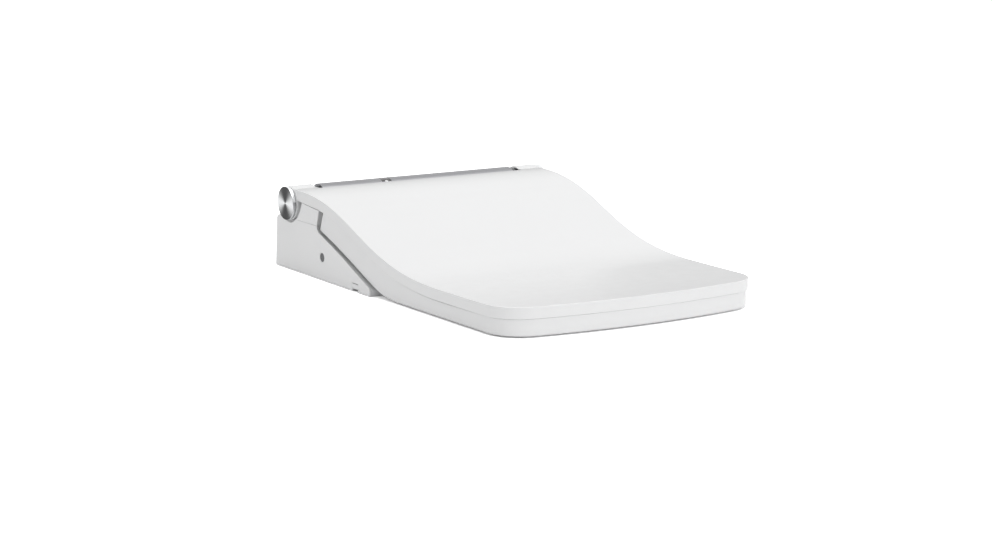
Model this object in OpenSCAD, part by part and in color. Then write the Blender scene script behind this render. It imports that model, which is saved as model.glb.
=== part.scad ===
// Electric bidet seat: flat body with a washing wand, warm-air dryer and deodorizer,
// a heated seat ring and a soft-closing lid on one hinge line.
// The origin lies midway between the two fixing bolts, on the bowl's rim plane.
// +X is to the right of a person facing the seat, +Y points to the wall, +Z is up.
// "Setback" is the distance forward from the plane of the body's back.

/* [Body] */
// Width over the side panels and the lid at the hinge
body_w = 370; // [360:1:385]
// Distance from the body's back to the line of the fixing bolts
bolt_setback = 62; // [58:1:66]
// Setback of the front ends of the side panels
body_d = 253; // [248:1:258]
// Setback of the front face between the two shoulders
face_setback = 186; // [183:1:190]
// Half width of the recess between the two shoulders
recess_half_w = 118; // [112:1:122]
// Height of the side panels, where the seam to the upper cover lies
panel_h = 67; // [66:0.5:68]
// Gap between the bowl's rim and the body
base_gap = 0.8; // [0.5:0.1:1.5]
// Wall of the covers and of the tray
wall = 2.5; // [2:0.1:3]
// Thickness of the side panels
panel_t = 3; // [2.5:0.1:3.5]

/* [Hinge] */
// Setback of the hinge line
hinge_setback = 41; // [40:0.5:42]
// Height of the hinge line above the rim
hinge_z = 86; // [85.5:0.1:87]
// Radius of the hinge bar and the lid's knuckles
bar_r = 21.6; // [20.8:0.1:22]
// Length of the aluminium hinge bar
bar_l = 286; // [280:1:290]
// Wall of the hinge bar
bar_wall = 3; // [2:0.1:4]
// Radius of the hinge shafts
shaft_r = 5; // [4:0.1:6]
// Radius of the round end caps
cap_r = 21.2; // [20.8:0.1:22]
// Distance that the end caps stand out of the sides
cap_proud = 6; // [4:0.5:8]
// Width of each seat knuckle
seat_knuckle_w = 7.8; // [6:0.1:9]

/* [Lid] */
// Depth from the body's back to the lid's front edge
unit_d = 566; // [550:1:580]
// Width of the lid at its front edge
front_w = 355; // [347:1:361]
// Height of the lid beside the hinge
crest_h = 105.3; // [104.5:0.1:106]
// Height of the lid's flat front part at its lowest
trough_h = 35.2; // [34.5:0.1:37]
// Rise of the lid from there to its front edge
nose_rise = 1.8; // [0:0.1:3]
// Height of the lid's edge, measured upright
lid_t = 13.4; // [12.6:0.1:13.8]
// Wall of the lid's shells
lid_wall = 2.6; // [2:0.1:3]
// Radius of the lid's front corners in plan
corner_r = 46; // [38:1:54]
// Radius of the bowed front edge in plan
front_bow_r = 855; // [750:5:1200]

/* [Seat] */
// Setback of the seat's back edge at its foot
seat_setback = 120; // [119:0.5:122]
// Height of the underside above the rim
seat_lift = 2; // [1.6:0.1:3.5]
// Inset of the seat's side from the lid's side
seat_inset = 2; // [1:0.1:3]
// Gap between the lid and the seat
lid_gap = 0.6; // [0.4:0.1:0.8]
// Gap between the seat and the body's slope
slot_gap = 1.8; // [1:0.1:2.5]
// Wall of the seat's shells
seat_wall = 3; // [2.5:0.1:4]
// Width of the ring beside the opening, at the hinge's width
rim_side = 73; // [69:1:85]
// Width of the ring in front of the opening
rim_front = 68; // [62:1:76]
// Width of the ring behind the opening
rim_back = 92; // [90:1:100]
// Distance of the opening's widest point behind the front edge
widest = 188; // [178:1:198]

/* [Washing wand] */
// Radius of the wand
wand_r = 6.5; // [5.5:0.1:7]
// Length of the wand with its tip
wand_l = 168; // [165:1:169]
// Travel of the wand
wand_travel = 110; // [60:5:110]
// Slope of the wand in degrees
wand_tilt = 5; // [4:0.1:5.4]
// Height of the wand's axis at the front face
wand_z = 19; // [18.6:0.1:20]
// Module of the rack and its pinion
gear_m = 1.25; // [1.1:0.05:1.3]
// Teeth of the pinion
pinion_n = 14; // [13:1:15]
// Play between the flanks of rack and pinion
backlash = 0.3; // [0.2:0.05:0.4]
// Distance of the pinion behind the front face
pinion_v = 58; // [56:0.5:60]

/* [Mounting plate] */
// Distance between the fixing bolts
bolt_spacing = 155; // [140:1:165]
// Radius of the bolt holes
bolt_hole_r = 4.5; // [3.5:0.1:5.5]
// Width of the plate
plate_w = 208; // [200:1:214]
// Depth of the plate
plate_d = 70; // [64:1:72]
// Thickness of the plate
plate_t = 5; // [4:0.1:5.2]

/* [Services] */
// Outer radius of the water inlet's thread
inlet_r = 10.48; // [9:0.01:10.6]
// Length of the water inlet's thread
inlet_l = 12; // [10:0.5:12]
// Radius of the hole for the power cord
cord_hole_r = 4.2; // [3:0.1:4.5]
// Radius of the dryer's fan
dryer_fan_r = 28; // [24:0.5:29]
// Radius of the deodorizer's fan
odour_fan_r = 23; // [20:0.5:24]
// Blades of each fan
fan_blades = 14; // [9:1:18]
// Width of the deodorizer cartridge
filter_w = 46; // [40:1:48]
// Height of the deodorizer cartridge
filter_h = 30; // [26:1:31]

/* [Buttons] */
// Width of the release button
release_w = 14.8; // [12:0.1:16]
// Height of the release button
release_h = 6.2; // [5:0.1:6.4]
// Travel of the release button
release_travel = 4; // [3:0.5:4]
// Radius of the round side button
side_button_r = 5.5; // [4:0.1:6]
// Travel of the round side button
side_button_travel = 1.5; // [1:0.1:2]

/* [Hidden] */
$fn = 48;

gap = 0.3;            // clearance between pieces that don't fit tightly
fit = 0.06;           // radial clearance of the running fits
eps = 1;              // how far a cutting solid runs past the face it cuts
steps = 22;           // pieces of each curved stretch of an outline

half_w = body_w / 2;
rear_y = bolt_setback;
hole_half_w = half_w - rim_side;
hole_setback = unit_d - widest;
hole_front = widest - rim_front;
hole_back = hole_setback - seat_setback - rim_back;
hinge_y = rear_y - hinge_setback;
core_half_w = half_w - panel_t - 2 * gap;
bar_half = bar_l / 2;
knuckle_in = bar_half + 2 * gap;
knuckle_out = knuckle_in + seat_knuckle_w;
ear_in = knuckle_out + 2 * gap;
pocket_r = bar_r + 3.5;
// Front side of the pocket round the hinge, measured from the hinge line
pocket_front = [[13.2, -21.5], [22.2, -15.7], [30, -6.6], [35.3, 3.9],
                [54.6, crest_h + 8 - hinge_z]];

// Depth behind the back edge at which the lid starts to fall, and its easing lengths
crest_s = 63;
crest_ease = 142;
trough_s = unit_d - 158;
trough_ease = 182.4;
// The underside of the seat: where it starts, and how it eases into the flat part
slope_top = 61.1;
slope_ease = 144.5;
slope_drop = 48;
flat_s = body_d + 68;
flat_ease = 72;
seat_lean = 8;

function bezier(a, b, c, d, n = steps) = [
    for (i = [0:n]) let (t = i / n, u = 1 - t)
        u * u * u * a + 3 * u * u * t * b + 3 * u * t * t * c + t * t * t * d
];
function lifted(points, dz) = [for (p = points) [p[0], p[1] + dz]];
function reversed(list) = [for (i = [len(list) - 1:-1:0]) list[i]];
function arc(cx, cy, r, a0, a1, n = 12) = [
    for (i = [0:n]) let (a = a0 + (a1 - a0) * i / n) [cx + r * cos(a), cy + r * sin(a)]
];

// Top line of the lid in setback and height, from the hinge to the front edge
top_line = concat(
    [[hinge_setback, crest_h]],
    bezier([crest_s, crest_h], [crest_s + crest_ease, crest_h],
           [trough_s - trough_ease, trough_h], [trough_s, trough_h]),
    [[unit_d, trough_h + nose_rise]]
);
// Line of the seat's underside, from its back edge to the flat front part
slope_line = bezier([seat_setback, slope_top],
                    [seat_setback + slope_ease, slope_top - slope_drop],
                    [flat_s - flat_ease, seat_lift], [flat_s, seat_lift]);
// Front edge of the body's cheeks, from the seam up to the lid
cheek_foot_s = seat_setback - 3.9;
cheek_top_s = seat_setback + 2.2;
cheek_top_z = lookup(cheek_top_s, top_line) - lid_t - gap;
// Behind a thin outer lip, the slope and the cheeks lie deeper
slope_sink = 2.6;
lip_t = 1;
// Round nose of each shoulder, between its slope and its upright front end
nose_r = 6;
nose_s = body_d - nose_r;
nose_slope = atan((lookup(nose_s - 5, slope_line) - lookup(nose_s + 5, slope_line)) / 10);
nose_z = lookup(nose_s, slope_line) - slot_gap - nose_r / cos(nose_slope);

// Half width of the lid at a setback
function lid_half_w(s) = half_w - (half_w - front_w / 2) * (s - hinge_setback) / (unit_d - hinge_setback);

// Plan outline of the lid or the seat, inset all round, starting at a setback.
// The corner arcs touch the bowed front edge, which is an arc of front_bow_r.
function plan_half(inset, s0) =
    let (
        r = corner_r - inset,
        bow_c = unit_d - front_bow_r,
        cx = lid_half_w(unit_d - corner_r) - corner_r,
        cs = bow_c + sqrt(pow(front_bow_r - corner_r, 2) - cx * cx),
        a = atan2(cs - bow_c, cx)
    )
    concat(
        [[lid_half_w(s0) - inset, s0]],
        arc(cx, cs, r, 0, a),
        arc(0, bow_c, front_bow_r - inset, a + (90 - a) / 4, 90, 3)
    );
function plan_outline(inset, s0) =
    let (half = plan_half(inset, s0), last = len(half) - 2)
    concat(half, [for (i = [last:-1:0]) [-half[i][0], half[i][1]]]);

// Outline of the seat's opening: two half ellipses that meet at the widest point
function hole_outline(outset) = [
    for (i = [0:71]) let (a = i * 5)
        [(hole_half_w + outset) * cos(a),
         hole_setback + ((sin(a) > 0 ? hole_front : hole_back) + outset) * sin(a)]
];

// Extrudes a shape drawn in plan as [x, setback] between two heights
module upright(z0, z1) {
    translate([0, rear_y, z0]) mirror([0, 1, 0]) linear_extrude(z1 - z0) children();
}
// Extrudes a shape drawn as [setback, height] between two places across the body
module across(x0, x1) {
    translate([x1, rear_y, 0]) rotate([90, 0, -90]) linear_extrude(x1 - x0) children();
}
module block(x0, x1, s0, s1, z0, z1) {
    translate([x0, rear_y - s1, z0]) cube([x1 - x0, s1 - s0, z1 - z0]);
}
// An upright round post, at a place across and a setback
module post(x, s, r, z0, z1) {
    translate([x, rear_y - s, z0]) cylinder(r = r, h = z1 - z0);
}
// A round bar on the hinge line
module hinge_rod(r, x0, x1) {
    translate([x0, hinge_y, hinge_z]) rotate([0, 90, 0]) cylinder(r = r, h = x1 - x0, $fn = 96);
}
// A round bar along X at a setback and height
module cross_rod(r, x0, x1, s, z) {
    translate([x0, rear_y - s, z]) rotate([0, 90, 0]) cylinder(r = r, h = x1 - x0);
}
// A round bar that runs forward from setback s0 to s1
module along_rod(r, x, s0, s1, z) {
    translate([x, rear_y - s0, z]) rotate([90, 0, 0]) cylinder(r = r, h = s1 - s0);
}
module both_sides() {
    children();
    mirror([1, 0, 0]) children();
}

// ---------- body shells ----------

// Side view of the body, moved inwards by an inset, with its front side sunk between the
// outer lips.
module body_profile(inset, sink = slope_sink) {
    polygon(concat(
        [[inset, base_gap], [5 + inset, panel_h - 4], [9 + inset, panel_h - inset],
         [hinge_setback, panel_h - inset], [hinge_setback, crest_h - lid_t - gap - inset],
         [crest_s, crest_h - lid_t - gap - inset], [cheek_top_s - sink - inset, cheek_top_z - inset],
         [cheek_foot_s - sink - inset, panel_h + 1], [cheek_foot_s - sink - inset, panel_h - 3 - inset]],
        [for (p = slope_line) if (p[0] < nose_s) [p[0], p[1] - slot_gap - sink - inset * 1.07]],
        arc(nose_s, nose_z - sink, nose_r - inset, 90 - nose_slope, 0, 6),
        [[body_d - inset, -eps], [inset, -eps]]
    ));
}
// Plan of the body with its recess at the front, moved inwards by an inset
module body_plan(inset, reach = core_half_w) {
    back = -eps;
    polygon([
        [-reach + inset, back], [reach - inset, back],
        [reach - inset, body_d - inset], [recess_half_w + inset, body_d - inset],
        [recess_half_w + inset, face_setback - inset], [-recess_half_w - inset, face_setback - inset],
        [-recess_half_w - inset, body_d - inset], [-reach + inset, body_d - inset]
    ]);
}
// Side view of the pocket around each end of the hinge line, grown by an outset
module pocket_profile(outset) {
    translate([hinge_setback, hinge_z]) circle(r = pocket_r + outset, $fn = 96);
    polygon(concat(
        [[hinge_setback, hinge_z]],
        [for (p = pocket_front) [hinge_setback + p[0] + outset, hinge_z + p[1] - outset]],
        [[hinge_setback, crest_h + 8]]
    ));
}
module body_solid(inset, z0) {
    intersection() {
        across(-core_half_w + inset, core_half_w - inset) body_profile(inset);
        upright(z0, crest_h) body_plan(inset);
    }
}
// ---------- layout of the inner pieces ----------

tray_z = base_gap + wall;
pocket_floor_z = plate_t + 4;         // underside of the tray above the mounting plate
bay_z = pocket_floor_z + wall;        // inner floor above the mounting plate
plate_s0 = bolt_setback - plate_d / 2 + 1;
plate_s1 = plate_s0 + plate_d;
arm_slot = 3 * gap;                   // side clearance of the seat arms in their channels
screw_r = 1.5;
screw_play = 0.1;
screw_l = 10;
screw_boss_r = 3.6;

// Water: inlet, pump and heater tank
inlet_x = -half_w + 29;
inlet_s = 27;
inlet_cup_r = 18;
inlet_cup_z = 14;
inlet_top = inlet_cup_z + wall;
pump_x = -half_w + 30;
pump_z = 21;
pump_s0 = inlet_s + 31;
pump_s1 = pump_s0 + 46;
pump_head = 36;
tank_x0 = inlet_x + 22;
tank_x1 = -54;
tank_s0 = 14;
tank_s1 = 98;
tank_z1 = 52;
hose_r = 4;
// Deodorizer: fan, cartridge bay and duct
odour_x = half_w - 39;
odour_s = 57;
odour_z0 = tray_z;
odour_z1 = odour_z0 + 28;
filter_s0 = 98;
filter_z0 = 7;
filter_x0 = half_w - 64;
bay_s0 = filter_s0 - gap - 2;
bay_s1 = filter_s0 + filter_w + gap + 2;
odour_duct_x0 = filter_x0 - 31;
odour_duct_x1 = odour_duct_x0 + 25;
// Warm air: fan and duct
dryer_x = odour_x - 74;
dryer_s = 76;
dryer_z0 = bay_z;
dryer_z1 = dryer_z0 + 30;
duct_x0 = dryer_x - 20;
duct_x1 = duct_x0 + 30;
duct_z0 = bay_z + gap;
duct_z1 = duct_z0 + 17;
// Electrics
power_x1 = odour_x - 38;
power_x0 = power_x1 - 72;
power_s0 = 9;
power_s1 = power_s0 + 30;
cord_x = half_w - 35;
cord_z = 20;
cord_gland_r = cord_hole_r + wall;
screw_edge = 8;       // distance of the outer screws from the recess and the back
screw_places = [
    [-half_w + 13, 51], [half_w - 13, filter_s0 - 7],
    [power_x0 - 12, screw_edge], [tank_x1 + 10, screw_edge],
    for (x = [half_w - 11, recess_half_w + screw_edge], side = [-1, 1]) [side * x, body_d - 20]
];

module upper_cover() {
    color("white") difference() {
        union() {
            difference() {
                union() {
                    body_solid(0, base_gap);
                    intersection() {
                        union() {
                            across(-half_w, half_w) body_profile(0);
                            both_sides() across(half_w - lip_t, half_w) body_profile(0, 0);
                        }
                        block(-half_w, half_w, 0, body_d, panel_h + gap, crest_h);
                    }
                }
                difference() {
                    body_solid(wall, -eps);
                    hinge_rod(bar_r + gap + wall, -half_w, half_w);
                    both_sides() across(knuckle_in - 4, half_w) pocket_profile(wall);
                    both_sides() block(knuckle_in - 4, knuckle_out + 4, hinge_setback, body_d, 66, crest_h);
                }
            }
            for (p = screw_places) screw_boss(p);
        }
        hinge_rod(bar_r + gap, -bar_half - gap, bar_half + gap);
        both_sides() across(bar_half, half_w + eps) pocket_profile(0);
        both_sides() block(knuckle_in - arm_slot, knuckle_out + arm_slot, hinge_setback, body_d,
                           panel_h + 1.5, crest_h);
        for (p = screw_places) post(p[0], p[1], screw_r + screw_play, -eps, tray_z + screw_l + eps);
        block(-recess_half_w, recess_half_w, face_setback - wall - gap, face_setback + eps, -eps, crest_h);
        intersection() {
            across(-half_w, half_w) body_profile(wall);
            both_sides() recess_wall(eps, gap, -eps);
        }
        filter_window(0);
        block(-half_w, 0, release_s0 - 2, release_s1 + 2, -eps, release_z1 + 2);
        side_button_hole(side_button_r + 2);
        cord_hole(cord_gland_r + 0.1);
        block(-core_half_w + wall, core_half_w - wall, wall + 1, face_setback - wall, -eps, tray_z);
        both_sides() block(recess_half_w + wall, core_half_w - wall, wall + 1, body_d - wall, -eps, tray_z);
    }
}
// Wall of a shoulder that faces the recess, grown by its clearances
module recess_wall(play_in, play, z0) {
    block(recess_half_w - play_in, recess_half_w + wall + play, face_setback - wall - play,
          body_d - wall - gap + play, z0, crest_h);
}
// Front wall with its two side walls, and the windows for the wand and the two air ducts
module front_panel() {
    color("white") difference() {
        union() {
            intersection() {
                body_solid(0, base_gap);
                block(-recess_half_w + gap, recess_half_w - gap, face_setback - wall, face_setback, 0, crest_h);
            }
            intersection() {
                across(-half_w, half_w) body_profile(wall + gap);
                union() {
                    block(-recess_half_w - wall, recess_half_w + wall, face_setback - wall, face_setback,
                          base_gap, crest_h);
                    both_sides() recess_wall(0, 0, base_gap);
                }
            }
        }
        wand_window();
        dryer_window();
        odour_window();
    }
}
// Long boss that hangs from the roof of the cover down to the tray
module screw_boss(p) {
    intersection() {
        post(p[0], p[1], screw_boss_r, tray_z + gap, crest_h);
        body_solid(0, base_gap);
    }
}
module side_panel() {
    color("white") difference() {
        intersection() {
            union() {
                across(core_half_w + 2 * gap, half_w) body_profile(0);
                across(half_w - lip_t, half_w) body_profile(0, 0);
            }
            block(0, half_w + eps, -eps, body_d, base_gap, panel_h);
        }
        across(0, half_w + eps) pocket_profile(0);
    }
}
module left_side_panel() {
    difference() {
        mirror([1, 0, 0]) side_panel();
        block(-half_w - eps, 0, release_s0 - gap, release_s1 + gap, -eps, release_z1 + 3 * gap);
        side_button_hole(side_button_r + gap);
    }
}
module right_side_panel() {
    difference() {
        side_panel();
        filter_window(gap);
    }
}
module base_tray() {
    color("gainsboro") difference() {
        union() {
            upright(base_gap, tray_z) body_plan_floor(wall + gap);
            block(-plate_half_w - wall, plate_half_w + wall, plate_s0 - 3 - wall, plate_s1 + 3 + wall,
                  base_gap, bay_z);
            post(inlet_x, inlet_s, inlet_cup_r + wall, base_gap, inlet_cup_z + wall);
            block(release_stop_x, release_stop_x + 3, release_spring_s - 3.5, release_spring_s + 3.5,
                  base_gap, release_z1);
        }
        block(-plate_half_w, plate_half_w, plate_s0 - 3, plate_s1 + 3, -eps, pocket_floor_z);
        post(inlet_x, inlet_s, inlet_cup_r, -eps, inlet_cup_z);
        post(inlet_x, inlet_s, inlet_r + gap, 0, 40);
        for (x = [-1, 1]) post(x * bolt_spacing / 2, bolt_setback, 9, 0, 40);
        for (p = screw_places) post(p[0], p[1], screw_r + screw_play, -eps, bay_z);
        block(-plate_half_w - 2 * wall, -plate_half_w + eps, latch_s - 6, latch_s + 6,
              tray_z, pocket_floor_z);
    }
}
// Floor of the tray, with its back edge clear of the cover's back wall
module body_plan_floor(inset) {
    difference() {
        body_plan(inset);
        translate([-half_w, -2 * eps]) square([body_w, wall + gap + 2 * eps]);
    }
}
module base_feet() {
    color("dimgray") both_sides() {
        foot(half_w - 35, body_d - 22);
        foot(half_w - 65, 20);
    }
}
module foot(x, s) {
    post(x, s, 6, 0, base_gap);
}
module case_screws() {
    color("silver") for (p = screw_places) post(p[0], p[1], screw_r, base_gap, tray_z + screw_l);
}

// ---------- mounting plate ----------

plate_half_w = plate_w / 2 + 3;
latch_s = plate_s1 - 9;
latch_x = -plate_w / 2 + 6;
latch_x1 = latch_x + 3.4;

module mounting_plate() {
    color("lightgray") difference() {
        block(-plate_w / 2, plate_w / 2, plate_s0, plate_s1, 0, plate_t);
        for (x = [-1, 1]) {
            post(x * bolt_spacing / 2, bolt_setback, bolt_hole_r, -eps, plate_t + eps);
            block(x * bolt_spacing / 2 - 12, x * bolt_spacing / 2 + 12, bolt_setback - 14,
                  bolt_setback + 14, plate_t - 2, plate_t + eps);
        }
        block(-30, 30, bolt_setback - 18, bolt_setback + 18, -eps, plate_t + eps);
        block(latch_x - gap, latch_x1 + release_travel + gap, latch_s - 3 - gap,
              latch_s + 3 + gap, -eps, plate_t + eps);
        block(latch_x1 + gap, latch_x1 + release_travel + gap, latch_s,
              plate_s1 + eps, -eps, plate_t + eps);
    }
}
module plate_washers() {
    color("dimgray") for (x = [-1, 1]) difference() {
        block(x * bolt_spacing / 2 - 11, x * bolt_spacing / 2 + 11, bolt_setback - 13,
              bolt_setback + 13, plate_t - 2, plate_t + 1);
        post(x * bolt_spacing / 2, bolt_setback, bolt_hole_r, 0, plate_t + 2);
    }
}

// ---------- hinge line ----------

window_x = -48.5;
window_w = 14;

module hinge_bar() {
    color("silver") difference() {
        hinge_rod(bar_r, -bar_half, bar_half);
        hinge_rod(bar_r - bar_wall, -bar_half - eps, bar_half + eps);
        block(window_x - window_w / 2, window_x + window_w / 2, hinge_setback - 4, hinge_setback + 11,
              hinge_z, hinge_z + bar_r + eps);
    }
}
module bar_end_plates() {
    color("dimgray") both_sides() difference() {
        hinge_rod(bar_r - bar_wall - 0.1, bar_half - bar_wall, bar_half);
        hinge_rod(shaft_r + fit, 0, half_w);
    }
}
module sensor_window() {
    color("black") intersection() {
        block(window_x - window_w / 2 + 0.2, window_x + window_w / 2 - 0.2, hinge_setback - 3.8,
              hinge_setback + 10.8, hinge_z, hinge_z + bar_r + eps);
        difference() {
            hinge_rod(bar_r - 0.8, -bar_half, bar_half);
            hinge_rod(bar_r - bar_wall, -bar_half, bar_half);
        }
    }
}
module sensor_board() {
    board_z = hinge_z + bar_r - bar_wall - 6;
    color("darkgreen") {
        block(window_x - 12, window_x + 12, hinge_setback - 8, hinge_setback + 8, board_z, board_z + 1.6);
        block(window_x - 4, window_x + 4, hinge_setback - 1, hinge_setback + 7, board_z + 1.6, board_z + 4);
    }
}
module hinge_shaft() {
    color("lightgray") hinge_rod(shaft_r, damper_in + 20, half_w + cap_proud - wall);
}
module left_hinge_shaft() {
    mirror([1, 0, 0]) hinge_shaft();
}
module right_hinge_shaft() {
    hinge_shaft();
}
damper_in = 62;
module damper() {
    color("dimgray") difference() {
        hinge_rod(bar_r - bar_wall - gap, damper_in, bar_half - bar_wall - gap);
        hinge_rod(shaft_r + fit, damper_in + 20, half_w);
    }
}
module lid_damper() {
    mirror([1, 0, 0]) damper();
}
module seat_damper() {
    damper();
}
module end_cap() {
    color("silver") difference() {
        hinge_rod(cap_r, half_w + 2 * gap, half_w + cap_proud);
        hinge_rod(shaft_r + fit, 0, half_w + cap_proud - wall);
    }
}
module left_end_cap() {
    mirror([1, 0, 0]) end_cap();
}
module right_end_cap() {
    end_cap();
}

// ---------- buttons ----------

release_s = body_d - 36.5;
release_s0 = release_s - release_w / 2;
release_s1 = release_s + release_w / 2;
release_z0 = tray_z + gap;
release_z1 = release_z0 + release_h;
release_z = release_z0 + release_h / 2;
release_in_x = -half_w + 16;
latch_z = plate_t + 0.4;
latch_t = 2.8;
latch_bar_x = -recess_half_w - 16;
latch_bar_x1 = latch_bar_x + 8;
release_spring_s = release_s1 - 4.2;
release_spring_r = 2.2;
release_stop_x = release_in_x + 6;
release_bore_x = release_in_x - 6;
release_spring_x = release_bore_x + release_travel + gap;

module release_button() {
    color("white") difference() {
        block(-half_w, release_in_x, release_s0, release_s1, release_z0, release_z1);
        block(release_in_x - 8, release_in_x + eps, release_s0 - eps, release_s,
              latch_z - 0.1, latch_z + latch_t + 0.1);
        cross_rod(release_spring_r + gap, release_bore_x, release_in_x + eps, release_spring_s, release_z);
    }
}
// Flat bar from the button to the window in the mounting plate, with the tooth at its end
module release_latch() {
    color("dimgray") {
        block(release_in_x - 7.8, latch_bar_x1, release_s0, release_s - gap, latch_z, latch_z + latch_t);
        block(latch_bar_x, latch_bar_x1, latch_s - 3, release_s - gap, latch_z, latch_z + latch_t);
        block(latch_bar_x, latch_x1, latch_s - 3, latch_s + 3, latch_z, latch_z + latch_t);
        block(latch_x, latch_x1, latch_s - 3, latch_s + 3, 1.5, latch_z + latch_t);
    }
}
// The spring is drawn at the length that it has when the button is pressed home
module release_spring() {
    color("silver") difference() {
        cross_rod(release_spring_r, release_spring_x, release_stop_x, release_spring_s, release_z);
        cross_rod(release_spring_r - 0.5, release_spring_x - eps, release_stop_x + eps,
                  release_spring_s, release_z);
    }
}
side_button_s = seat_setback + 10;
side_button_z = 29.4;
side_button_in = half_w - 8;
module side_button_hole(r) {
    cross_rod(r, -half_w - eps, -core_half_w + wall + eps, side_button_s, side_button_z);
}
module side_button() {
    color("dimgray") {
        cross_rod(side_button_r, -half_w, -core_half_w, side_button_s, side_button_z);
        cross_rod(side_button_r + 1.3, -half_w + panel_t + gap, -half_w + panel_t + gap + 1.5,
                  side_button_s, side_button_z);
        cross_rod(2, -core_half_w - eps, -side_button_in, side_button_s, side_button_z);
    }
}
module side_switch() {
    switch_x = -side_button_in + side_button_travel + 0.2;
    color("black") {
        block(switch_x, switch_x + 6, side_button_s - 5, side_button_s + 5,
              side_button_z - 6, side_button_z + 5);
        block(switch_x + 1, switch_x + 5, side_button_s - 3, side_button_s + 3,
              tray_z, side_button_z - 5);
    }
}

// ---------- washing wand ----------

wand_half_window = 12.5;
wand_shield_h = 8;
rack_x0 = wand_r + 0.1;
pitch_x = rack_x0 + 3.2 + gear_m;
pinion_pitch_r = gear_m * pinion_n / 2;
pinion_x = pitch_x + pinion_pitch_r;
rack_v0 = pinion_v - 7;
rack_v1 = min(wand_l + 1, pinion_v + wand_travel + 3);
motor_shaft_r = 1.5;
bracket_z = 3.4;      // the motor's bracket, measured from the wand's axis
bracket_t = 2;

// Children are placed along the wand: local +Y runs back along its axis from the front face
module on_wand() {
    translate([0, rear_y - face_setback, wand_z]) rotate([wand_tilt, 0, 0]) children();
}
module local_rod(r, v0, v1) {
    translate([0, v0, 0]) rotate([-90, 0, 0]) cylinder(r = r, h = v1 - v0);
}
module wand_window() {
    on_wand() translate([-wand_half_window - gap, -20, -wand_shield_h - gap])
        cube([2 * (wand_half_window + gap), 40, 2 * (wand_shield_h + gap)]);
}
module nozzle_wand() {
    color("whitesmoke") on_wand() difference() {
        local_rod(wand_r, 24, wand_l);
        local_rod(wand_r - 2.2, 24 - eps, wand_l + eps);
    }
}
module nozzle_tip() {
    color("white") on_wand() difference() {
        local_rod(wand_r, 2.5, 24);
        translate([-wand_r, 6, wand_r - 0.8]) cube([2 * wand_r, 14, wand_r]);
        for (v = [9, 12.5, 16]) translate([0, v, 0]) cylinder(r = 0.7, h = wand_r + eps, $fn = 16);
        local_rod(wand_r - 2.2, 18, 24 + eps);
    }
}
module nozzle_shield() {
    color("white") on_wand()
        translate([-wand_half_window, 0, -wand_shield_h])
            cube([2 * wand_half_window, 2.5, 2 * wand_shield_h]);
}
// Straight teeth along the local Y axis, with flanks at 20 degrees
module nozzle_rack() {
    pitch = PI * gear_m;
    tip = gear_m;
    root = 1.25 * gear_m;
    // a tooth space of the rack faces the pinion's axis
    first = pinion_v - pitch / 2 - floor((pinion_v - rack_v0 - pitch) / pitch) * pitch;
    teeth = floor((rack_v1 - pitch / 2 - first) / pitch) + 1;
    half_at_pitch = pitch / 4 - backlash / 4;
    slant = tan(20);
    color("ivory") on_wand() translate([0, 0, -3]) linear_extrude(6) polygon(concat(
        [[rack_x0, rack_v0], [pitch_x - root, rack_v0]],
        [for (i = [0:teeth - 1]) let (v = first + i * pitch) each [
            [pitch_x - root, v - half_at_pitch - root * slant],
            [pitch_x + tip, v - half_at_pitch + tip * slant],
            [pitch_x + tip, v + half_at_pitch - tip * slant],
            [pitch_x - root, v + half_at_pitch + root * slant]]],
        [[pitch_x - root, rack_v1], [rack_x0, rack_v1]]
    ));
}
// Involute pinion: each flank is the involute of the base circle
function involute(rb, r) = let (t = sqrt(pow(r / rb, 2) - 1)) t * 180 / PI - atan(t);
function flank_angle(r, rb, rp, half) = half + involute(rb, rp) - involute(rb, max(r, rb));
module pinion_outline(n, m, play) {
    rp = m * n / 2;
    rb = rp * cos(20);
    ra = rp + 0.9 * m;
    rf = rp - 1.25 * m;
    half = 90 / n - play / 4 / rp * 180 / PI;
    radii = [rf, rb, rb + (ra - rb) * 0.35, rb + (ra - rb) * 0.7, ra];
    polygon([for (k = [0:n - 1]) let (a = k * 360 / n) each concat(
        [for (r = radii) let (b = a - flank_angle(r, rb, rp, half)) [r * cos(b), r * sin(b)]],
        [for (r = reversed(radii)) let (b = a + flank_angle(r, rb, rp, half)) [r * cos(b), r * sin(b)]]
    )]);
}
module drive_pinion() {
    color("ivory") on_wand() translate([pinion_x, pinion_v, -2.5]) difference() {
        rotate([0, 0, 180]) linear_extrude(5) pinion_outline(pinion_n, gear_m, backlash);
        translate([0, 0, -eps]) cylinder(r = motor_shaft_r + fit, h = 10);
    }
}
module drive_motor() {
    color("gray") on_wand() translate([pinion_x, pinion_v, 0]) {
        translate([0, 0, bracket_z + bracket_t]) cylinder(r = 11, h = 15);
        translate([0, 0, -3]) cylinder(r = motor_shaft_r, h = bracket_z + bracket_t + 3 + eps);
    }
}
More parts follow.
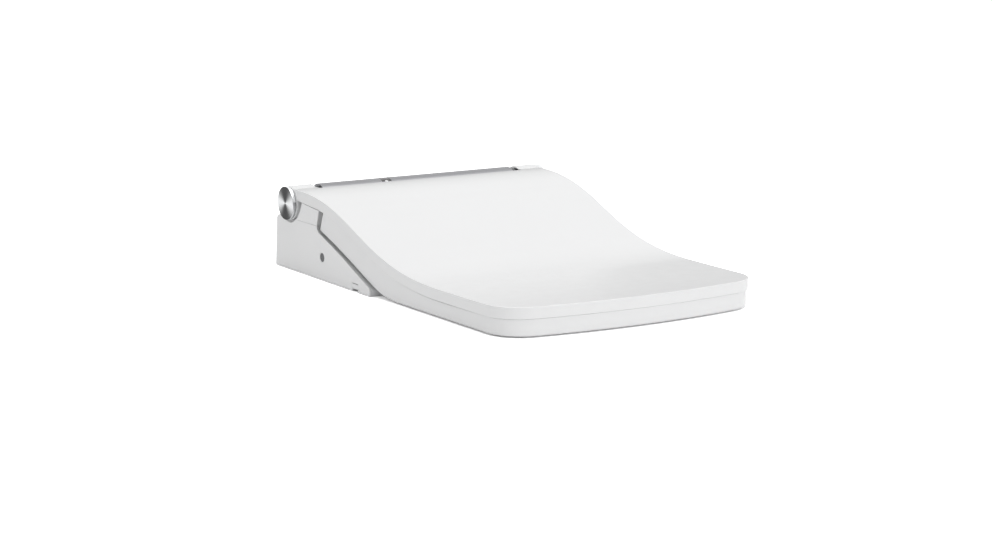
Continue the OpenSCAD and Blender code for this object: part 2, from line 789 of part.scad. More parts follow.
// Guide with two collars for the wand, a slot beside it for the rack and a motor bracket
module nozzle_housing() {
    slot_x = pitch_x + gear_m + 0.4;
    floor_z = -10.6;
    bracket_x = pinion_x + 11;
    color("gainsboro") difference() {
        union() {
            on_wand() {
                translate([-12, 5, floor_z]) cube([12 + slot_x + 3, wand_l - 8, 2.4]);
                for (v = [5, 90]) translate([-12, v, floor_z]) cube([12 + slot_x + 3, 12, 20]);
                translate([-12, 5, floor_z]) cube([2.4, wand_l - 8, 12]);
                translate([slot_x, pinion_v - 12, floor_z]) cube([bracket_x + 2 - slot_x, 24, 2.4]);
                translate([bracket_x, pinion_v - 12, floor_z]) cube([2, 24, 16]);
                translate([pinion_x - 6, pinion_v - 12, bracket_z])
                    cube([bracket_x - pinion_x + 8, 24, bracket_t]);
            }
            block(-10, 10, face_setback - 26, face_setback - 18, tray_z, wand_z - 4);
            block(-10, 10, face_setback - 110, face_setback - 98, bay_z, wand_z + 2);
            block(-10, 10, face_setback - 150, face_setback - 140, bay_z, wand_z + 6);
        }
        on_wand() {
            local_rod(wand_r + gap, -10, wand_l + 20);
            translate([0, -10, -3 - gap]) cube([slot_x, wand_l + 30, 6 + 2 * gap]);
            translate([pinion_x, pinion_v, -8]) cylinder(r = 3, h = 20);
        }
    }
}
valve_s = face_setback - 26;
module diverter_valve() {
    color("gray") {
        block(-34, -12 - gap, valve_s - 9, valve_s + 9, tray_z, 29);
        post(-23, valve_s, 8, 29, 35);
    }
}

// ---------- water ----------

module water_inlet() {
    color("silver") difference() {
        union() {
            post(inlet_x, inlet_s, inlet_r, inlet_cup_z - inlet_l, inlet_cup_z);
            post(inlet_x, inlet_s, inlet_r - 1, inlet_cup_z - eps, inlet_top + eps);
            post(inlet_x, inlet_s, 14, inlet_top, inlet_top + 3.5);
        }
        post(inlet_x, inlet_s, inlet_r - 4, 0, inlet_top + 10);
    }
}
module solenoid_valve() {
    base = inlet_top + 3.5;
    color("white") block(inlet_x - 16, inlet_x + 14, inlet_s - 14, inlet_s + 14, base, base + 16);
    color("black") post(inlet_x, inlet_s, 9, base + 16, base + 29);
}
module heater_tank() {
    color("ivory") difference() {
        block(tank_x0, tank_x1, tank_s0, tank_s1, bay_z, tank_z1);
        block(tank_x0 + wall, tank_x1 - wall, tank_s0 + wall, tank_s1 - wall, bay_z + wall, tank_z1 - wall);
    }
}
module heater_rod() {
    color("silver") for (s = [tank_s0 + 24, tank_s1 - 24]) {
        cross_rod(5, tank_x0 + wall, tank_x1 - wall, s, 31);
    }
}
module water_pump() {
    color("black") along_rod(15, pump_x, pump_s0, pump_s1, pump_z);
    color("gray") along_rod(12, pump_x, pump_s1, pump_s1 + pump_head, pump_z);
    color("black") block(pump_x - 10, pump_x + 10, pump_s0 + 6, pump_s1 - 6, tray_z, pump_z - 8);
}
module water_hoses() {
    color("lightgray") {
        cross_rod(hose_r, inlet_x + 14, tank_x0, inlet_s, 29);
        cross_rod(hose_r, pump_x + 15, tank_x0, tank_s1 - 14, pump_z);
        along_rod(hose_r, pump_x, pump_s1 + pump_head, valve_s + hose_r, pump_z);
        cross_rod(hose_r, pump_x, -34, valve_s, pump_z);
    }
}

// ---------- warm air ----------

module fan(r, hub_r, h, bore) {
    difference() {
        union() {
            cylinder(r = r, h = 2);
            cylinder(r = hub_r, h = h);
            for (i = [0:fan_blades - 1]) rotate([0, 0, 360 / fan_blades * i])
                translate([r - 9, -0.6, 0]) cube([8.4, 1.2, h]);
        }
        translate([0, 0, -eps]) cylinder(r = bore, h = h + 2 * eps);
    }
}
// A fan's scroll housing: a drum with a round mouth in its roof
module drum(r, h, mouth_r) {
    difference() {
        cylinder(r = r, h = h);
        translate([0, 0, 2]) cylinder(r = r - 2, h = h - 4);
        translate([0, 0, 2]) cylinder(r = mouth_r, h = h);
    }
}
module dryer_window() {
    block(duct_x0 + 2, duct_x1 - 2, face_setback - wall - eps, face_setback + eps,
          duct_z0 + 2, duct_z1 - 2);
}
module dryer_housing() {
    color("gainsboro") difference() {
        union() {
            translate([dryer_x, rear_y - dryer_s, dryer_z0]) drum(dryer_fan_r + 5, dryer_z1 - dryer_z0, 17);
            difference() {
                block(duct_x0, duct_x1, dryer_s + dryer_fan_r - 4, face_setback - wall - gap,
                      duct_z0, duct_z1);
                post(dryer_x, dryer_s, dryer_fan_r + 4, 0, dryer_z1);
            }
            block(duct_x0 + 10, duct_x1 - 10, face_setback - 36, face_setback - 28, tray_z, duct_z0 + eps);
        }
        block(duct_x0 + 2, duct_x1 - 2, dryer_s + dryer_fan_r - 8, face_setback, duct_z0 + 2, duct_z1 - 2);
    }
}
module dryer_fan() {
    color("black") translate([dryer_x, rear_y - dryer_s, dryer_z0 + 4]) fan(dryer_fan_r, 8, 22, 2 + fit);
}
module dryer_motor() {
    color("gray") {
        post(dryer_x, dryer_s, 20, dryer_z1, dryer_z1 + 2);
        post(dryer_x, dryer_s, 13, dryer_z1 + 2, dryer_z1 + 17);
        post(dryer_x, dryer_s, 2, dryer_z0 + 5, dryer_z1 + 1);
    }
}
module dryer_heater() {
    color("sandybrown") for (i = [0:4]) {
        fin_s = face_setback - 60 + 5 * i;
        block(duct_x0 + 2, duct_x1 - 2, fin_s, fin_s + 1.2, duct_z0 + 2, duct_z1 - 2);
    }
}

// ---------- deodorizer ----------

module odour_window() {
    block(odour_duct_x0 + 2, odour_duct_x1 - 2, face_setback - wall - eps, face_setback + eps, 10, 24);
}
module filter_window(play) {
    block(core_half_w - wall - eps, half_w + eps, filter_s0 - gap - play, filter_s0 + filter_w + gap + play,
          filter_z0 - gap - play, filter_z0 + filter_h + gap + play);
}
module odour_fan_housing() {
    color("gainsboro") difference() {
        union() {
            translate([odour_x, rear_y - odour_s, odour_z0]) drum(odour_fan_r + 5, odour_z1 - odour_z0, 12);
            difference() {
                block(odour_x - 13, odour_x + 13, odour_s + odour_fan_r - 2, bay_s0, 7, 29);
                post(odour_x, odour_s, odour_fan_r + 4, 0, 60);
            }
        }
        block(odour_x - 11, odour_x + 11, odour_s + odour_fan_r - 6, bay_s0 + eps, 9, 27);
    }
}
module odour_fan() {
    color("black") translate([odour_x, rear_y - odour_s, odour_z0 + 4]) fan(odour_fan_r, 7, 19, 2 + fit);
}
module odour_motor() {
    color("gray") {
        post(odour_x, odour_s, 15, odour_z1, odour_z1 + 2);
        post(odour_x, odour_s, 9, odour_z1 + 2, odour_z1 + 12);
        post(odour_x, odour_s, 2, odour_z0 + 5, odour_z1 + 1);
    }
}
// Tray for the cartridge, open at the side, with the duct from the front face
module filter_bay() {
    color("gainsboro") difference() {
        union() {
            block(filter_x0 - 2 - gap, core_half_w - wall - gap, bay_s0, bay_s1,
                  tray_z, filter_z0 + filter_h + gap + 2);
            block(odour_duct_x0, filter_x0 + 24, bay_s1 - 0.1, bay_s1 + 14, 8, 26);
            block(odour_duct_x0, odour_duct_x1, bay_s1, face_setback - wall - gap, 8, 26);
        }
        block(filter_x0 - gap, half_w, filter_s0 - gap, filter_s0 + filter_w + gap,
              filter_z0 - gap, filter_z0 + filter_h + gap);
        block(odour_x - 11, odour_x + 11, bay_s0 - eps, filter_s0, 9, 27);
        block(odour_duct_x0 + 2, filter_x0 + 22, bay_s1, bay_s1 + 12, 10, 24);
        block(filter_x0 + 2, filter_x0 + 22, bay_s1 - 4, bay_s1 + 1, 10, 24);
        block(odour_duct_x0 + 2, odour_duct_x1 - 2, bay_s1 + 2, face_setback, 10, 24);
    }
}
module filter_cartridge() {
    color("white") difference() {
        block(filter_x0, half_w, filter_s0, filter_s0 + filter_w, filter_z0, filter_z0 + filter_h);
        for (i = [0:4]) block(filter_x0 + 5 + 10 * i, filter_x0 + 12 + 10 * i, filter_s0 - eps,
                              filter_s0 + filter_w + eps, filter_z0 + 4, filter_z0 + filter_h - 4);
        block(half_w - 2, half_w + eps, filter_s0 + filter_w / 2 - 8, filter_s0 + filter_w / 2 + 8,
              filter_z0 + 4, filter_z0 + 9);
    }
}

// ---------- electrics ----------

module cord_hole(r) {
    along_rod(r, cord_x, -3, 8, cord_z);
}
module cord_gland() {
    color("black") difference() {
        union() {
            along_rod(cord_gland_r, cord_x, 2, 14, cord_z);
            along_rod(cord_gland_r + 3, cord_x, 5.2, 7.5, cord_z);
        }
        along_rod(cord_hole_r, cord_x, -3, 20, cord_z);
    }
}
board_t = 1.6;
board_post_r = 2.5;
module control_board() {
    x0 = latch_bar_x1 + release_travel + 1;
    x1 = -40;
    s0 = tank_s1 + 10;
    s1 = face_setback - 36;
    z0 = 10;
    z1 = z0 + board_t;
    color("darkgreen") block(x0, x1, s0, s1, z0, z1);
    color("gray") for (x = [x0 + 4, x1 - 4], s = [s0 + 4, s1 - 4]) post(x, s, board_post_r, tray_z, z0);
    color("black") {
        for (i = [0:3]) block(x0 + 12 + 17 * i, x0 + 22 + 17 * i, s0 + 8, s0 + 16, z1, z1 + 8.4);
        block(x0 + 16, x0 + 34, s1 - 20, s1 - 4, z1, z1 + 1.8);
        block(x0 + 44, x0 + 66, s1 - 18, s1 - 6, z1, z1 + 4.4);
    }
}
module power_board() {
    z0 = 14;
    z1 = z0 + board_t;
    color("darkgreen") block(power_x0, power_x1, power_s0, power_s1, z0, z1);
    color("gray") for (x = [power_x0 + 4, power_x1 - 4], s = [power_s0 + 4, power_s1 - 4]) {
        post(x, s, board_post_r, s > plate_s0 ? bay_z : tray_z, z0);
    }
    color("goldenrod") block(power_x1 - 28, power_x1 - 4, power_s0 + 3, power_s1 - 3, z1, z1 + 24.4);
    color("black") for (x = [8, 24]) post(power_x0 + x, power_s0 + 16, 6.5, z1, z1 + 22.4);
}

// ---------- seat ----------

// Setback of the seat's back edge at a height
seat_top_s = seat_setback + seat_lean;
seat_top_z = lookup(seat_top_s, top_line) - lid_t - lid_gap;
function seat_back(z) = seat_setback + seat_lean * (z - slope_top) / (seat_top_z - slope_top);
seat_depth = 8;       // how far the seat's hollow is cut through its underside
heater_mat_t = 0.8;

// Side view of the seat: drop lowers its top, shift moves its back edge forward
module seat_profile(drop, shift, deepen) {
    back = seat_top_s + shift;
    lower = lid_t + lid_gap + drop;
    polygon(concat(
        [[back, lookup(back, top_line) - lower]],
        [for (p = top_line) if (p[0] > back + 1) [p[0], p[1] - lower]],
        [[unit_d, seat_lift - deepen]],
        [for (p = reversed(slope_line)) [p[0] + shift, p[1] - deepen]]
    ));
}
// Side view of a sheet that follows the seat's underside
module seat_floor_profile(t) {
    polygon(concat(
        [[unit_d, seat_lift]], reversed(slope_line),
        [for (p = slope_line) [p[0], p[1] + t]], [[unit_d, seat_lift + t]]
    ));
}
module seat_ring(inset) {
    difference() {
        polygon(plan_outline(seat_inset + inset, seat_setback));
        polygon(hole_outline(inset));
    }
}
module seat_top() {
    color("white") difference() {
        intersection() {
            across(-half_w, half_w) seat_profile(0, 0, 0);
            upright(0, crest_h) seat_ring(0);
        }
        intersection() {
            across(-half_w, half_w) seat_profile(seat_wall, seat_wall + 0.5, seat_depth);
            upright(-seat_depth, crest_h) seat_ring(seat_wall);
        }
    }
}
module seat_bottom() {
    color("whitesmoke") intersection() {
        across(-half_w, half_w) intersection() {
            seat_floor_profile(wall);
            seat_profile(seat_wall + gap, seat_wall + 0.5 + gap, seat_depth);
        }
        upright(0, crest_h) seat_ring(seat_wall + gap);
    }
}
// Heating mat under the seat's upper wall
module seat_heater() {
    color("orange") intersection() {
        across(-half_w, half_w) difference() {
            seat_profile(seat_wall + gap, seat_wall + 4, 0);
            seat_profile(seat_wall + gap + heater_mat_t, 0, seat_depth);
        }
        upright(0, crest_h) seat_ring(seat_wall + 6);
    }
}
module seat_sensor() {
    sensor_s = seat_setback + 175;
    floor_z = lookup(sensor_s, slope_line) + wall + 1.2;
    color("black") block(half_w - 59, half_w - 39, sensor_s - 8, sensor_s + 8, floor_z, floor_z + 7);
}
module seat_arm() {
    top = seat_top_z - 1;
    foot = 72;
    color("dimgray") difference() {
        union() {
            hinge_rod(bar_r - 3, knuckle_in, knuckle_out);
            across(knuckle_in, knuckle_out) polygon([
                [hinge_setback, hinge_z + 3], [seat_back(top) - gap, top], [seat_back(foot) - gap, foot],
                [60, 71], [hinge_setback, hinge_z - 9]
            ]);
        }
        hinge_rod(shaft_r + fit, 0, half_w);
    }
}
module left_seat_arm() {
    mirror([1, 0, 0]) seat_arm();
}
module right_seat_arm() {
    seat_arm();
}
module seat_bumpers() {
    color("lightgray") both_sides() {
        post(half_w - 50, unit_d - 64, 7, 0, seat_lift);
        post(half_w - 37, unit_d - 201, 7, 0, seat_lift);
    }
}

// ---------- lid ----------

lid_edge_s = crest_s - 2;   // rear edge of the lid beside the hinge bar
lid_back = lid_edge_s + lid_wall;
lid_floor = 3;        // the underside panel lies this far above the lid's lower edge
lid_floor_t = 2.2;

// Side view of the lid between its top line, lowered, and its lower edge, deepened
module lid_profile(drop, deepen) {
    polygon(concat(
        lifted(top_line, -drop),
        [for (p = reversed(top_line)) [p[0], p[1] - lid_t - deepen]]
    ));
}
module lid_top() {
    color("white") difference() {
        union() {
            difference() {
                intersection() {
                    across(-half_w, half_w) lid_profile(0, 0);
                    upright(0, crest_h + eps) polygon(plan_outline(0, hinge_setback));
                }
                block(-ear_in, ear_in, hinge_setback - eps, lid_edge_s, 0, crest_h + eps);
                hinge_rod(bar_r + 2 * gap, -ear_in, ear_in);
            }
            both_sides() hinge_rod(bar_r, ear_in, half_w);
        }
        intersection() {
            across(-half_w, half_w) lid_profile(lid_wall, 5);
            upright(0, crest_h) polygon(plan_outline(lid_wall, lid_back));
        }
        hinge_rod(shaft_r + fit, -half_w - eps, half_w + eps);
    }
}
module lid_underside() {
    color("whitesmoke") intersection() {
        across(-half_w, half_w) difference() {
            lid_profile(lid_t - lid_floor - lid_floor_t, 0);
            lid_profile(lid_t - lid_floor, eps);
        }
        upright(0, crest_h) polygon(plan_outline(lid_wall + gap, lid_back + gap));
    }
}
module lid_bumpers() {
    color("lightgray") both_sides() {
        lid_bumper(half_w - 55, unit_d - 58);
        lid_bumper(half_w - 35, unit_d - 131);
    }
}
module lid_bumper(x, s) {
    z = lookup(s, top_line) - lid_t;
    post(x, s, 6, z - gap, z + lid_floor - gap / 2);
}

mounting_plate();
plate_washers();
base_tray();
base_feet();
upper_cover();
front_panel();
left_side_panel();
right_side_panel();
case_screws();
hinge_bar();
bar_end_plates();
sensor_window();
sensor_board();
left_hinge_shaft();
right_hinge_shaft();
lid_damper();
seat_damper();
left_end_cap();
right_end_cap();
release_button();
release_latch();
release_spring();
side_button();
side_switch();
nozzle_housing();
nozzle_wand();
nozzle_tip();
nozzle_shield();
nozzle_rack();
drive_pinion();
drive_motor();
diverter_valve();
water_inlet();
solenoid_valve();
heater_tank();
heater_rod();
water_pump();
water_hoses();
dryer_housing();
dryer_fan();
dryer_motor();
dryer_heater();
odour_fan_housing();
odour_fan();
odour_motor();
filter_bay();
filter_cartridge();
control_board();
power_board();
cord_gland();
seat_top();
seat_bottom();
seat_heater();
seat_sensor();
left_seat_arm();
right_seat_arm();
seat_bumpers();
lid_top();
lid_underside();
lid_bumpers();
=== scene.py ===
import math

import bpy
import numpy as np
from mathutils import Matrix, Vector


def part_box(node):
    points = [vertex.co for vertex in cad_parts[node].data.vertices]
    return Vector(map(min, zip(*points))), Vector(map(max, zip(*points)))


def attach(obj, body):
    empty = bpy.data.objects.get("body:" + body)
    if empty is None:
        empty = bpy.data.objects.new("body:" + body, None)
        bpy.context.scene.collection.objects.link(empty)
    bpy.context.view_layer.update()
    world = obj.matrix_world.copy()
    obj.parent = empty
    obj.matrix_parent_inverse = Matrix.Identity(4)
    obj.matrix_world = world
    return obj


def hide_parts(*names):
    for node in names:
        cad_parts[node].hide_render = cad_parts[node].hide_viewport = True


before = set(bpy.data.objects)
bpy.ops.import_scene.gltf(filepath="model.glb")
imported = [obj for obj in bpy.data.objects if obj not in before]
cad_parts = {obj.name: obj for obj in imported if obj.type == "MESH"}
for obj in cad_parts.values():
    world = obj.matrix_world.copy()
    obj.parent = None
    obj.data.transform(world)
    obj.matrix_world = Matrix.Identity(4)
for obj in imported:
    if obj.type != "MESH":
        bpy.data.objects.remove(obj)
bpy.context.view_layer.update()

# ---------- camera ----------
# A long lens in front of the seat's left side and a little above it, so that the left panel,
# the whole lid and the thin front edge are all in view.
camera_place = Vector((-1.54127, -2.69470, 0.57214))
camera_aim = Vector((-0.00246, -0.1847, 0.00289))
focal_length = 87.33
lens = bpy.data.cameras.new("camera")
lens.lens = focal_length
camera = bpy.data.objects.new("camera", lens)
camera.location = camera_place
camera.rotation_euler = (camera_aim - camera_place).to_track_quat("-Z", "Y").to_euler()
bpy.context.scene.collection.objects.link(camera)
bpy.context.scene.camera = camera
bpy.context.scene.view_settings.view_transform = "Standard"


# ---------- studio ----------
# A wide pale floor under soft boxes: one large box overhead, one in front that brightens the
# thin front edges, and a weak one on the left. The floor keeps the seat's shadow.
class Wire:
    """An output socket. Signs between wires and numbers add Math nodes, node() any other node."""

    def __init__(self, tree, socket=None):
        self.tree, self.socket = tree, socket

    def node(self, kind, settings=None, inputs=None, out=0):
        """A new node's output. A colour Mix has its colours at inputs 6 and 7, its result at 2."""
        made = self.tree.nodes.new(kind)
        for key, value in (settings or {}).items():
            if key == "stops":
                ramp = made.color_ramp.elements
                for place, _ in value[1:-1]:
                    ramp.new(place)
                for stop, (place, shade) in zip(ramp, value):
                    stop.position, stop.color = place, (*shade, 1)
            else:
                setattr(made, key, value)
        for key, value in (inputs or {}).items():
            if isinstance(value, Wire):
                self.tree.links.new(value.socket, made.inputs[key])
            else:
                made.inputs[key].default_value = value
        return Wire(self.tree, made.outputs[out] if made.outputs else None)

    def __add__(self, other):
        return self.node("ShaderNodeMath", {"operation": "ADD"}, {0: self, 1: other})

    def __sub__(self, other):
        return self.node("ShaderNodeMath", {"operation": "SUBTRACT"}, {0: self, 1: other})

    def __rsub__(self, other):
        return self.node("ShaderNodeMath", {"operation": "SUBTRACT"}, {0: other, 1: self})

    def __mul__(self, other):
        return self.node("ShaderNodeMath", {"operation": "MULTIPLY"}, {0: self, 1: other})

    def __pow__(self, other):
        return self.node("ShaderNodeMath", {"operation": "POWER"}, {0: self, 1: other})

    def __rpow__(self, other):
        return self.node("ShaderNodeMath", {"operation": "POWER"}, {0: other, 1: self})

    def __lt__(self, other):
        return self.node("ShaderNodeMath", {"operation": "LESS_THAN"}, {0: self, 1: other})

    def __gt__(self, other):
        return self.node("ShaderNodeMath", {"operation": "GREATER_THAN"}, {0: self, 1: other})

    __radd__ = __add__
    __rmul__ = __mul__


def new_finish(name):
    """An empty material, with the wire that its nodes are made from."""
    material = bpy.data.materials.new(name)
    material.use_nodes = True
    material.node_tree.nodes.clear()
    return material, Wire(material.node_tree)


def make_piece(name, points, faces, body=None, finish=None):
    """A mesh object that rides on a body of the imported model."""
    mesh = bpy.data.meshes.new(name)
    mesh.from_pydata([tuple(p) for p in points], [], faces)
    made = bpy.data.objects.new(name, mesh)
    bpy.context.scene.collection.objects.link(made)
    if finish:
        mesh.materials.append(finish)
    if body:
        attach(made, body)
    return made


floor_half = 40.0
floor_shade, floor_stain = 0.90, 0.02
camera_lift, mirror_lift = 1.3, 0.3     # how much lighter the camera and reflections see the floor
floor_finish, floor_wire = new_finish("pale_floor")
camera_ray = floor_wire.node("ShaderNodeLightPath", out="Is Camera Ray")
mirror_ray = floor_wire.node("ShaderNodeLightPath", out="Is Glossy Ray")
stain = floor_wire.node("ShaderNodeTexNoise", None, {"Scale": 9.0, "Detail": 4.0})
floor_tone = (1 - stain * floor_stain) * floor_shade
floor_tone = floor_tone * (camera_ray * camera_lift + mirror_ray * mirror_lift + 1)
floor_colour = floor_wire.node("ShaderNodeCombineColor", None,
                               {"Red": floor_tone, "Green": floor_tone, "Blue": floor_tone})
floor_wire.node("ShaderNodeOutputMaterial", None, {"Surface": floor_wire.node(
    "ShaderNodeBsdfDiffuse", None, {"Color": floor_colour})})
floor = make_piece("studio_floor", [(-floor_half, -floor_half, 0), (floor_half, -floor_half, 0),
                                    (floor_half, floor_half, 0), (-floor_half, floor_half, 0)],
                   [(0, 1, 2, 3)], finish=floor_finish)

ambient = 0.50
least_glow, most_glow = 0.25, 1.0       # reflections see walls that are darker low down,
low_rise, low_drop = 12.5, 1.62         # by the lower of two straight slopes with height
high_rise, high_start = 1.1, 0.54
sky = bpy.data.worlds.new("studio")
bpy.context.scene.world = sky
sky.use_nodes = True
sky.node_tree.nodes.clear()
sky_wire = Wire(sky.node_tree)
camera_ray = sky_wire.node("ShaderNodeLightPath", out="Is Camera Ray")
mirror_ray = sky_wire.node("ShaderNodeLightPath", out="Is Glossy Ray")
glass_ray = sky_wire.node("ShaderNodeLightPath", out="Is Transmission Ray")
direction = sky_wire.node("ShaderNodeTexCoord", out="Generated")
height = sky_wire.node("ShaderNodeSeparateXYZ", None, {"Vector": direction}, out="Z")
wall_glow = sky_wire.node("ShaderNodeMath", {"operation": "MINIMUM"},
                          {0: height * low_rise - low_drop, 1: height * high_rise + high_start})
wall_glow = sky_wire.node("ShaderNodeMath", {"operation": "MINIMUM"}, {0: wall_glow, 1: most_glow})
wall_glow = sky_wire.node("ShaderNodeMath", {"operation": "MAXIMUM"}, {0: wall_glow, 1: least_glow})
level = mirror_ray * (wall_glow - ambient) + ambient
white_ray = sky_wire.node("ShaderNodeMath", {"operation": "MAXIMUM"}, {0: camera_ray, 1: glass_ray})
level = level + white_ray * (1 - level)
sky_wire.node("ShaderNodeOutputWorld", None, {"Surface": sky_wire.node(
    "ShaderNodeBackground", None, {"Color": (1, 1, 1, 1), "Strength": level})})


def soft_box(name, place, aim, wide, high, watts, reflected=True):
    """A rectangular lamp. One that isn't reflected leaves no hot patch on a glossy surface."""
    lamp = bpy.data.lights.new(name, "AREA")
    lamp.shape, lamp.size, lamp.size_y, lamp.energy = "RECTANGLE", wide, high, watts
    made = bpy.data.objects.new(name, lamp)
    made.location = place
    made.rotation_euler = (Vector(aim) - Vector(place)).to_track_quat("-Z", "Y").to_euler()
    made.visible_glossy = reflected
    bpy.context.scene.collection.objects.link(made)


soft_box("box_overhead", place=(0.2, -0.3, 2.2), aim=(0, -0.2, 0.05), wide=2.2, high=2.2, watts=23.0)
soft_box("box_front", place=(0.35, -2.7, 0.9), aim=(0, -0.3, 0.03), wide=1.6, high=1.2, watts=16.5,
         reflected=False)
soft_box("box_left", place=(-2.2, 0.1, 0.9), aim=(-0.1, -0.1, 0.05), wide=1.2, high=1.2, watts=3.6,
         reflected=False)


# ---------- lid ----------
# One thin shell of glossy white moulded plastic. It runs level from the hinge and falls in a
# long S to the flat front. A round ear on each side of the hinge bar turns on the hinge shaft.
back_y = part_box("upper_cover")[1].y     # sizes in s are distances forward of the body's back
bar_low, bar_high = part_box("hinge_bar")
bar_r = (bar_high.z - bar_low.z) / 2
hinge_y, hinge_z = (bar_low.y + bar_high.y) / 2, (bar_low.z + bar_high.z) / 2
hinge_s = back_y - hinge_y
lid_low, lid_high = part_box("lid_top")
half_w, front_half_w = lid_high.x, 0.1775
depth = back_y - lid_low.y
crest_flat, nose_flat = 0.002, 0.158
crest_s, crest_z, crest_ease = 0.063, 0.1053, 0.142
trough_s, trough_z, trough_ease = depth - nose_flat, 0.0352, 0.1824
nose_rise, nose_bend = 0.0010, 2.5
lid_edge_s = crest_s - crest_flat
lid_t, lid_wall = 0.0136, 0.0026
cheek_s, cheek_reach, cheek_drop = 0.0935, 0.027, 0.00103
corner_r, bow_r = 0.046, 0.855
side_steps, corner_steps, bow_steps, curve_steps = 94, 24, 12, 120


def bezier(a, b, c, d):
    """One coordinate of a curve from a to d, with handles at b and c."""
    t = np.linspace(0, 1, curve_steps + 1)
    return (1 - t) ** 3 * a + 3 * (1 - t) ** 2 * t * b + 3 * (1 - t) * t * t * c + t ** 3 * d


fall_s = bezier(crest_s, crest_s + crest_ease, trough_s - trough_ease, trough_s)
fall_z = bezier(crest_z, crest_z, trough_z, trough_z)


def lid_top_z(s):
    """Height of the lid's upper face at a distance from the body's back."""
    if s > trough_s:
        return trough_z + nose_rise * ((s - trough_s) / (depth - trough_s)) ** nose_bend
    return float(np.interp(s, fall_s, fall_z))


def lid_foot_z(s):
    """The lid's foot hangs a little lower over the cheeks, which it closes on."""
    return lid_top_z(s) - cheek_drop * max(0.0, 1 - ((s - cheek_s) / cheek_reach) ** 2)


def lid_half_w(s):
    return half_w - (half_w - front_half_w) * (s - hinge_s) / (depth - hinge_s)


def plan_line(inset, start_s):
    """Plan outline from the right back corner round the front to the left back corner."""
    bow_s = depth - bow_r
    corner_x = lid_half_w(depth - corner_r) - corner_r
    corner_s = bow_s + math.sqrt((bow_r - corner_r) ** 2 - corner_x * corner_x)
    turn = math.atan2(corner_s - bow_s, corner_x)
    half = []
    for i in range(side_steps):
        s = start_s + (corner_s - start_s) * i / side_steps
        half.append((lid_half_w(s) - inset, s))
    for i in range(corner_steps):
        a = turn * i / corner_steps
        half.append((corner_x + (corner_r - inset) * math.cos(a),
                     corner_s + (corner_r - inset) * math.sin(a)))
    for i in range(bow_steps + 1):
        a = turn + (math.pi / 2 - turn) * i / bow_steps
        half.append(((bow_r - inset) * math.cos(a), bow_s + (bow_r - inset) * math.sin(a)))
    return half + [(-x, s) for x, s in half[-2::-1]]


def place_ring(line, drop, top=lid_top_z):
    """A plan outline as points, at a drop below a surface."""
    return [(x, back_y - s, top(s) - drop) for x, s in line]


def round_edge(r, steps=4):
    """Insets and drops of an edge rounded with radius r, from the flat face to the side."""
    turns = [math.pi / 2 * i / steps for i in range(steps + 1)]
    return [(r - r * math.sin(a), r - r * math.cos(a)) for a in turns]


def ring_solid(rings):
    """Faces between rings of equal length, the first and last of them capped in rows."""
    n = len(rings[0])
    points = [p for ring in rings for p in ring]
    faces = []
    for k in range(len(rings) - 1):
        for i in range(n):
            j = (i + 1) % n
            faces.append((k * n + i, k * n + j, (k + 1) * n + j, (k + 1) * n + i))
    last = (len(rings) - 1) * n
    for i in range(n // 2):
        a, b = i, i + 1
        c, d = n - 2 - i, n - 1 - i
        if b < c:
            faces.append((b, a, d, c))
            faces.append((last + a, last + b, last + c, last + d))
        elif b == c:
            faces.append((b, a, d))
            faces.append((last + a, last + b, last + d))
    return points, faces


def lathe(profile, turns):
    """Points and faces of a profile of (radius, height) turned about local Z, poles closed."""
    points, faces, rows = [], [], []
    for r, z in profile:
        if r == 0:
            rows.append([len(points)] * turns)
            points.append((0, 0, z))
        else:
            rows.append(list(range(len(points), len(points) + turns)))
            points += [(r * math.cos(2 * math.pi * i / turns), r * math.sin(2 * math.pi * i / turns), z)
                       for i in range(turns)]
    for low, high in zip(rows, rows[1:]):
        for i in range(turns):
            j = (i + 1) % turns
            face = list(dict.fromkeys((low[i], low[j], high[j], high[i])))
            if len(face) > 2:
                faces.append(face)
    return points, faces


def bar_tool(name, profile, x, mirror, turns):
    """A turned tool on the hinge line, its local Z along X from a place x."""
    points, faces = lathe(profile, turns)
    turn = Matrix.Translation((x, hinge_y, hinge_z)) @ Matrix.Rotation(math.radians(90), 4, "Y")
    if mirror:
        turn = Matrix.Scale(-1, 4, (1, 0, 0)) @ turn
        faces = [face[::-1] for face in faces]
    return make_piece(name, [turn @ Vector(p) for p in points], faces)


def block_tool(name, low, high):
    """A plain block to cut with, between its lowest and its highest corner."""
    points = [(x, y, z) for x in (low[0], high[0]) for y in (low[1], high[1]) for z in (low[2], high[2])]
    return make_piece(name, points, [(0, 1, 3, 2), (4, 6, 7, 5), (0, 4, 5, 1),
                                     (2, 3, 7, 6), (0, 2, 6, 4), (1, 5, 7, 3)])


def apply_modifiers(made):
    graph = bpy.context.evaluated_depsgraph_get()
    done = bpy.data.meshes.new_from_object(made.evaluated_get(graph), depsgraph=graph)
    made.modifiers.clear()
    made.data = done


def smooth(made, sharp_at):
    """Smooth shading that keeps corners sharper than an angle in degrees."""
    mesh = made.data
    for face in mesh.polygons:
        face.use_smooth = True
    mesh.set_sharp_from_angle(angle=math.radians(sharp_at))
    even = made.modifiers.new("even_shading", "WEIGHTED_NORMAL")
    even.keep_sharp = True
    even.weight = 80


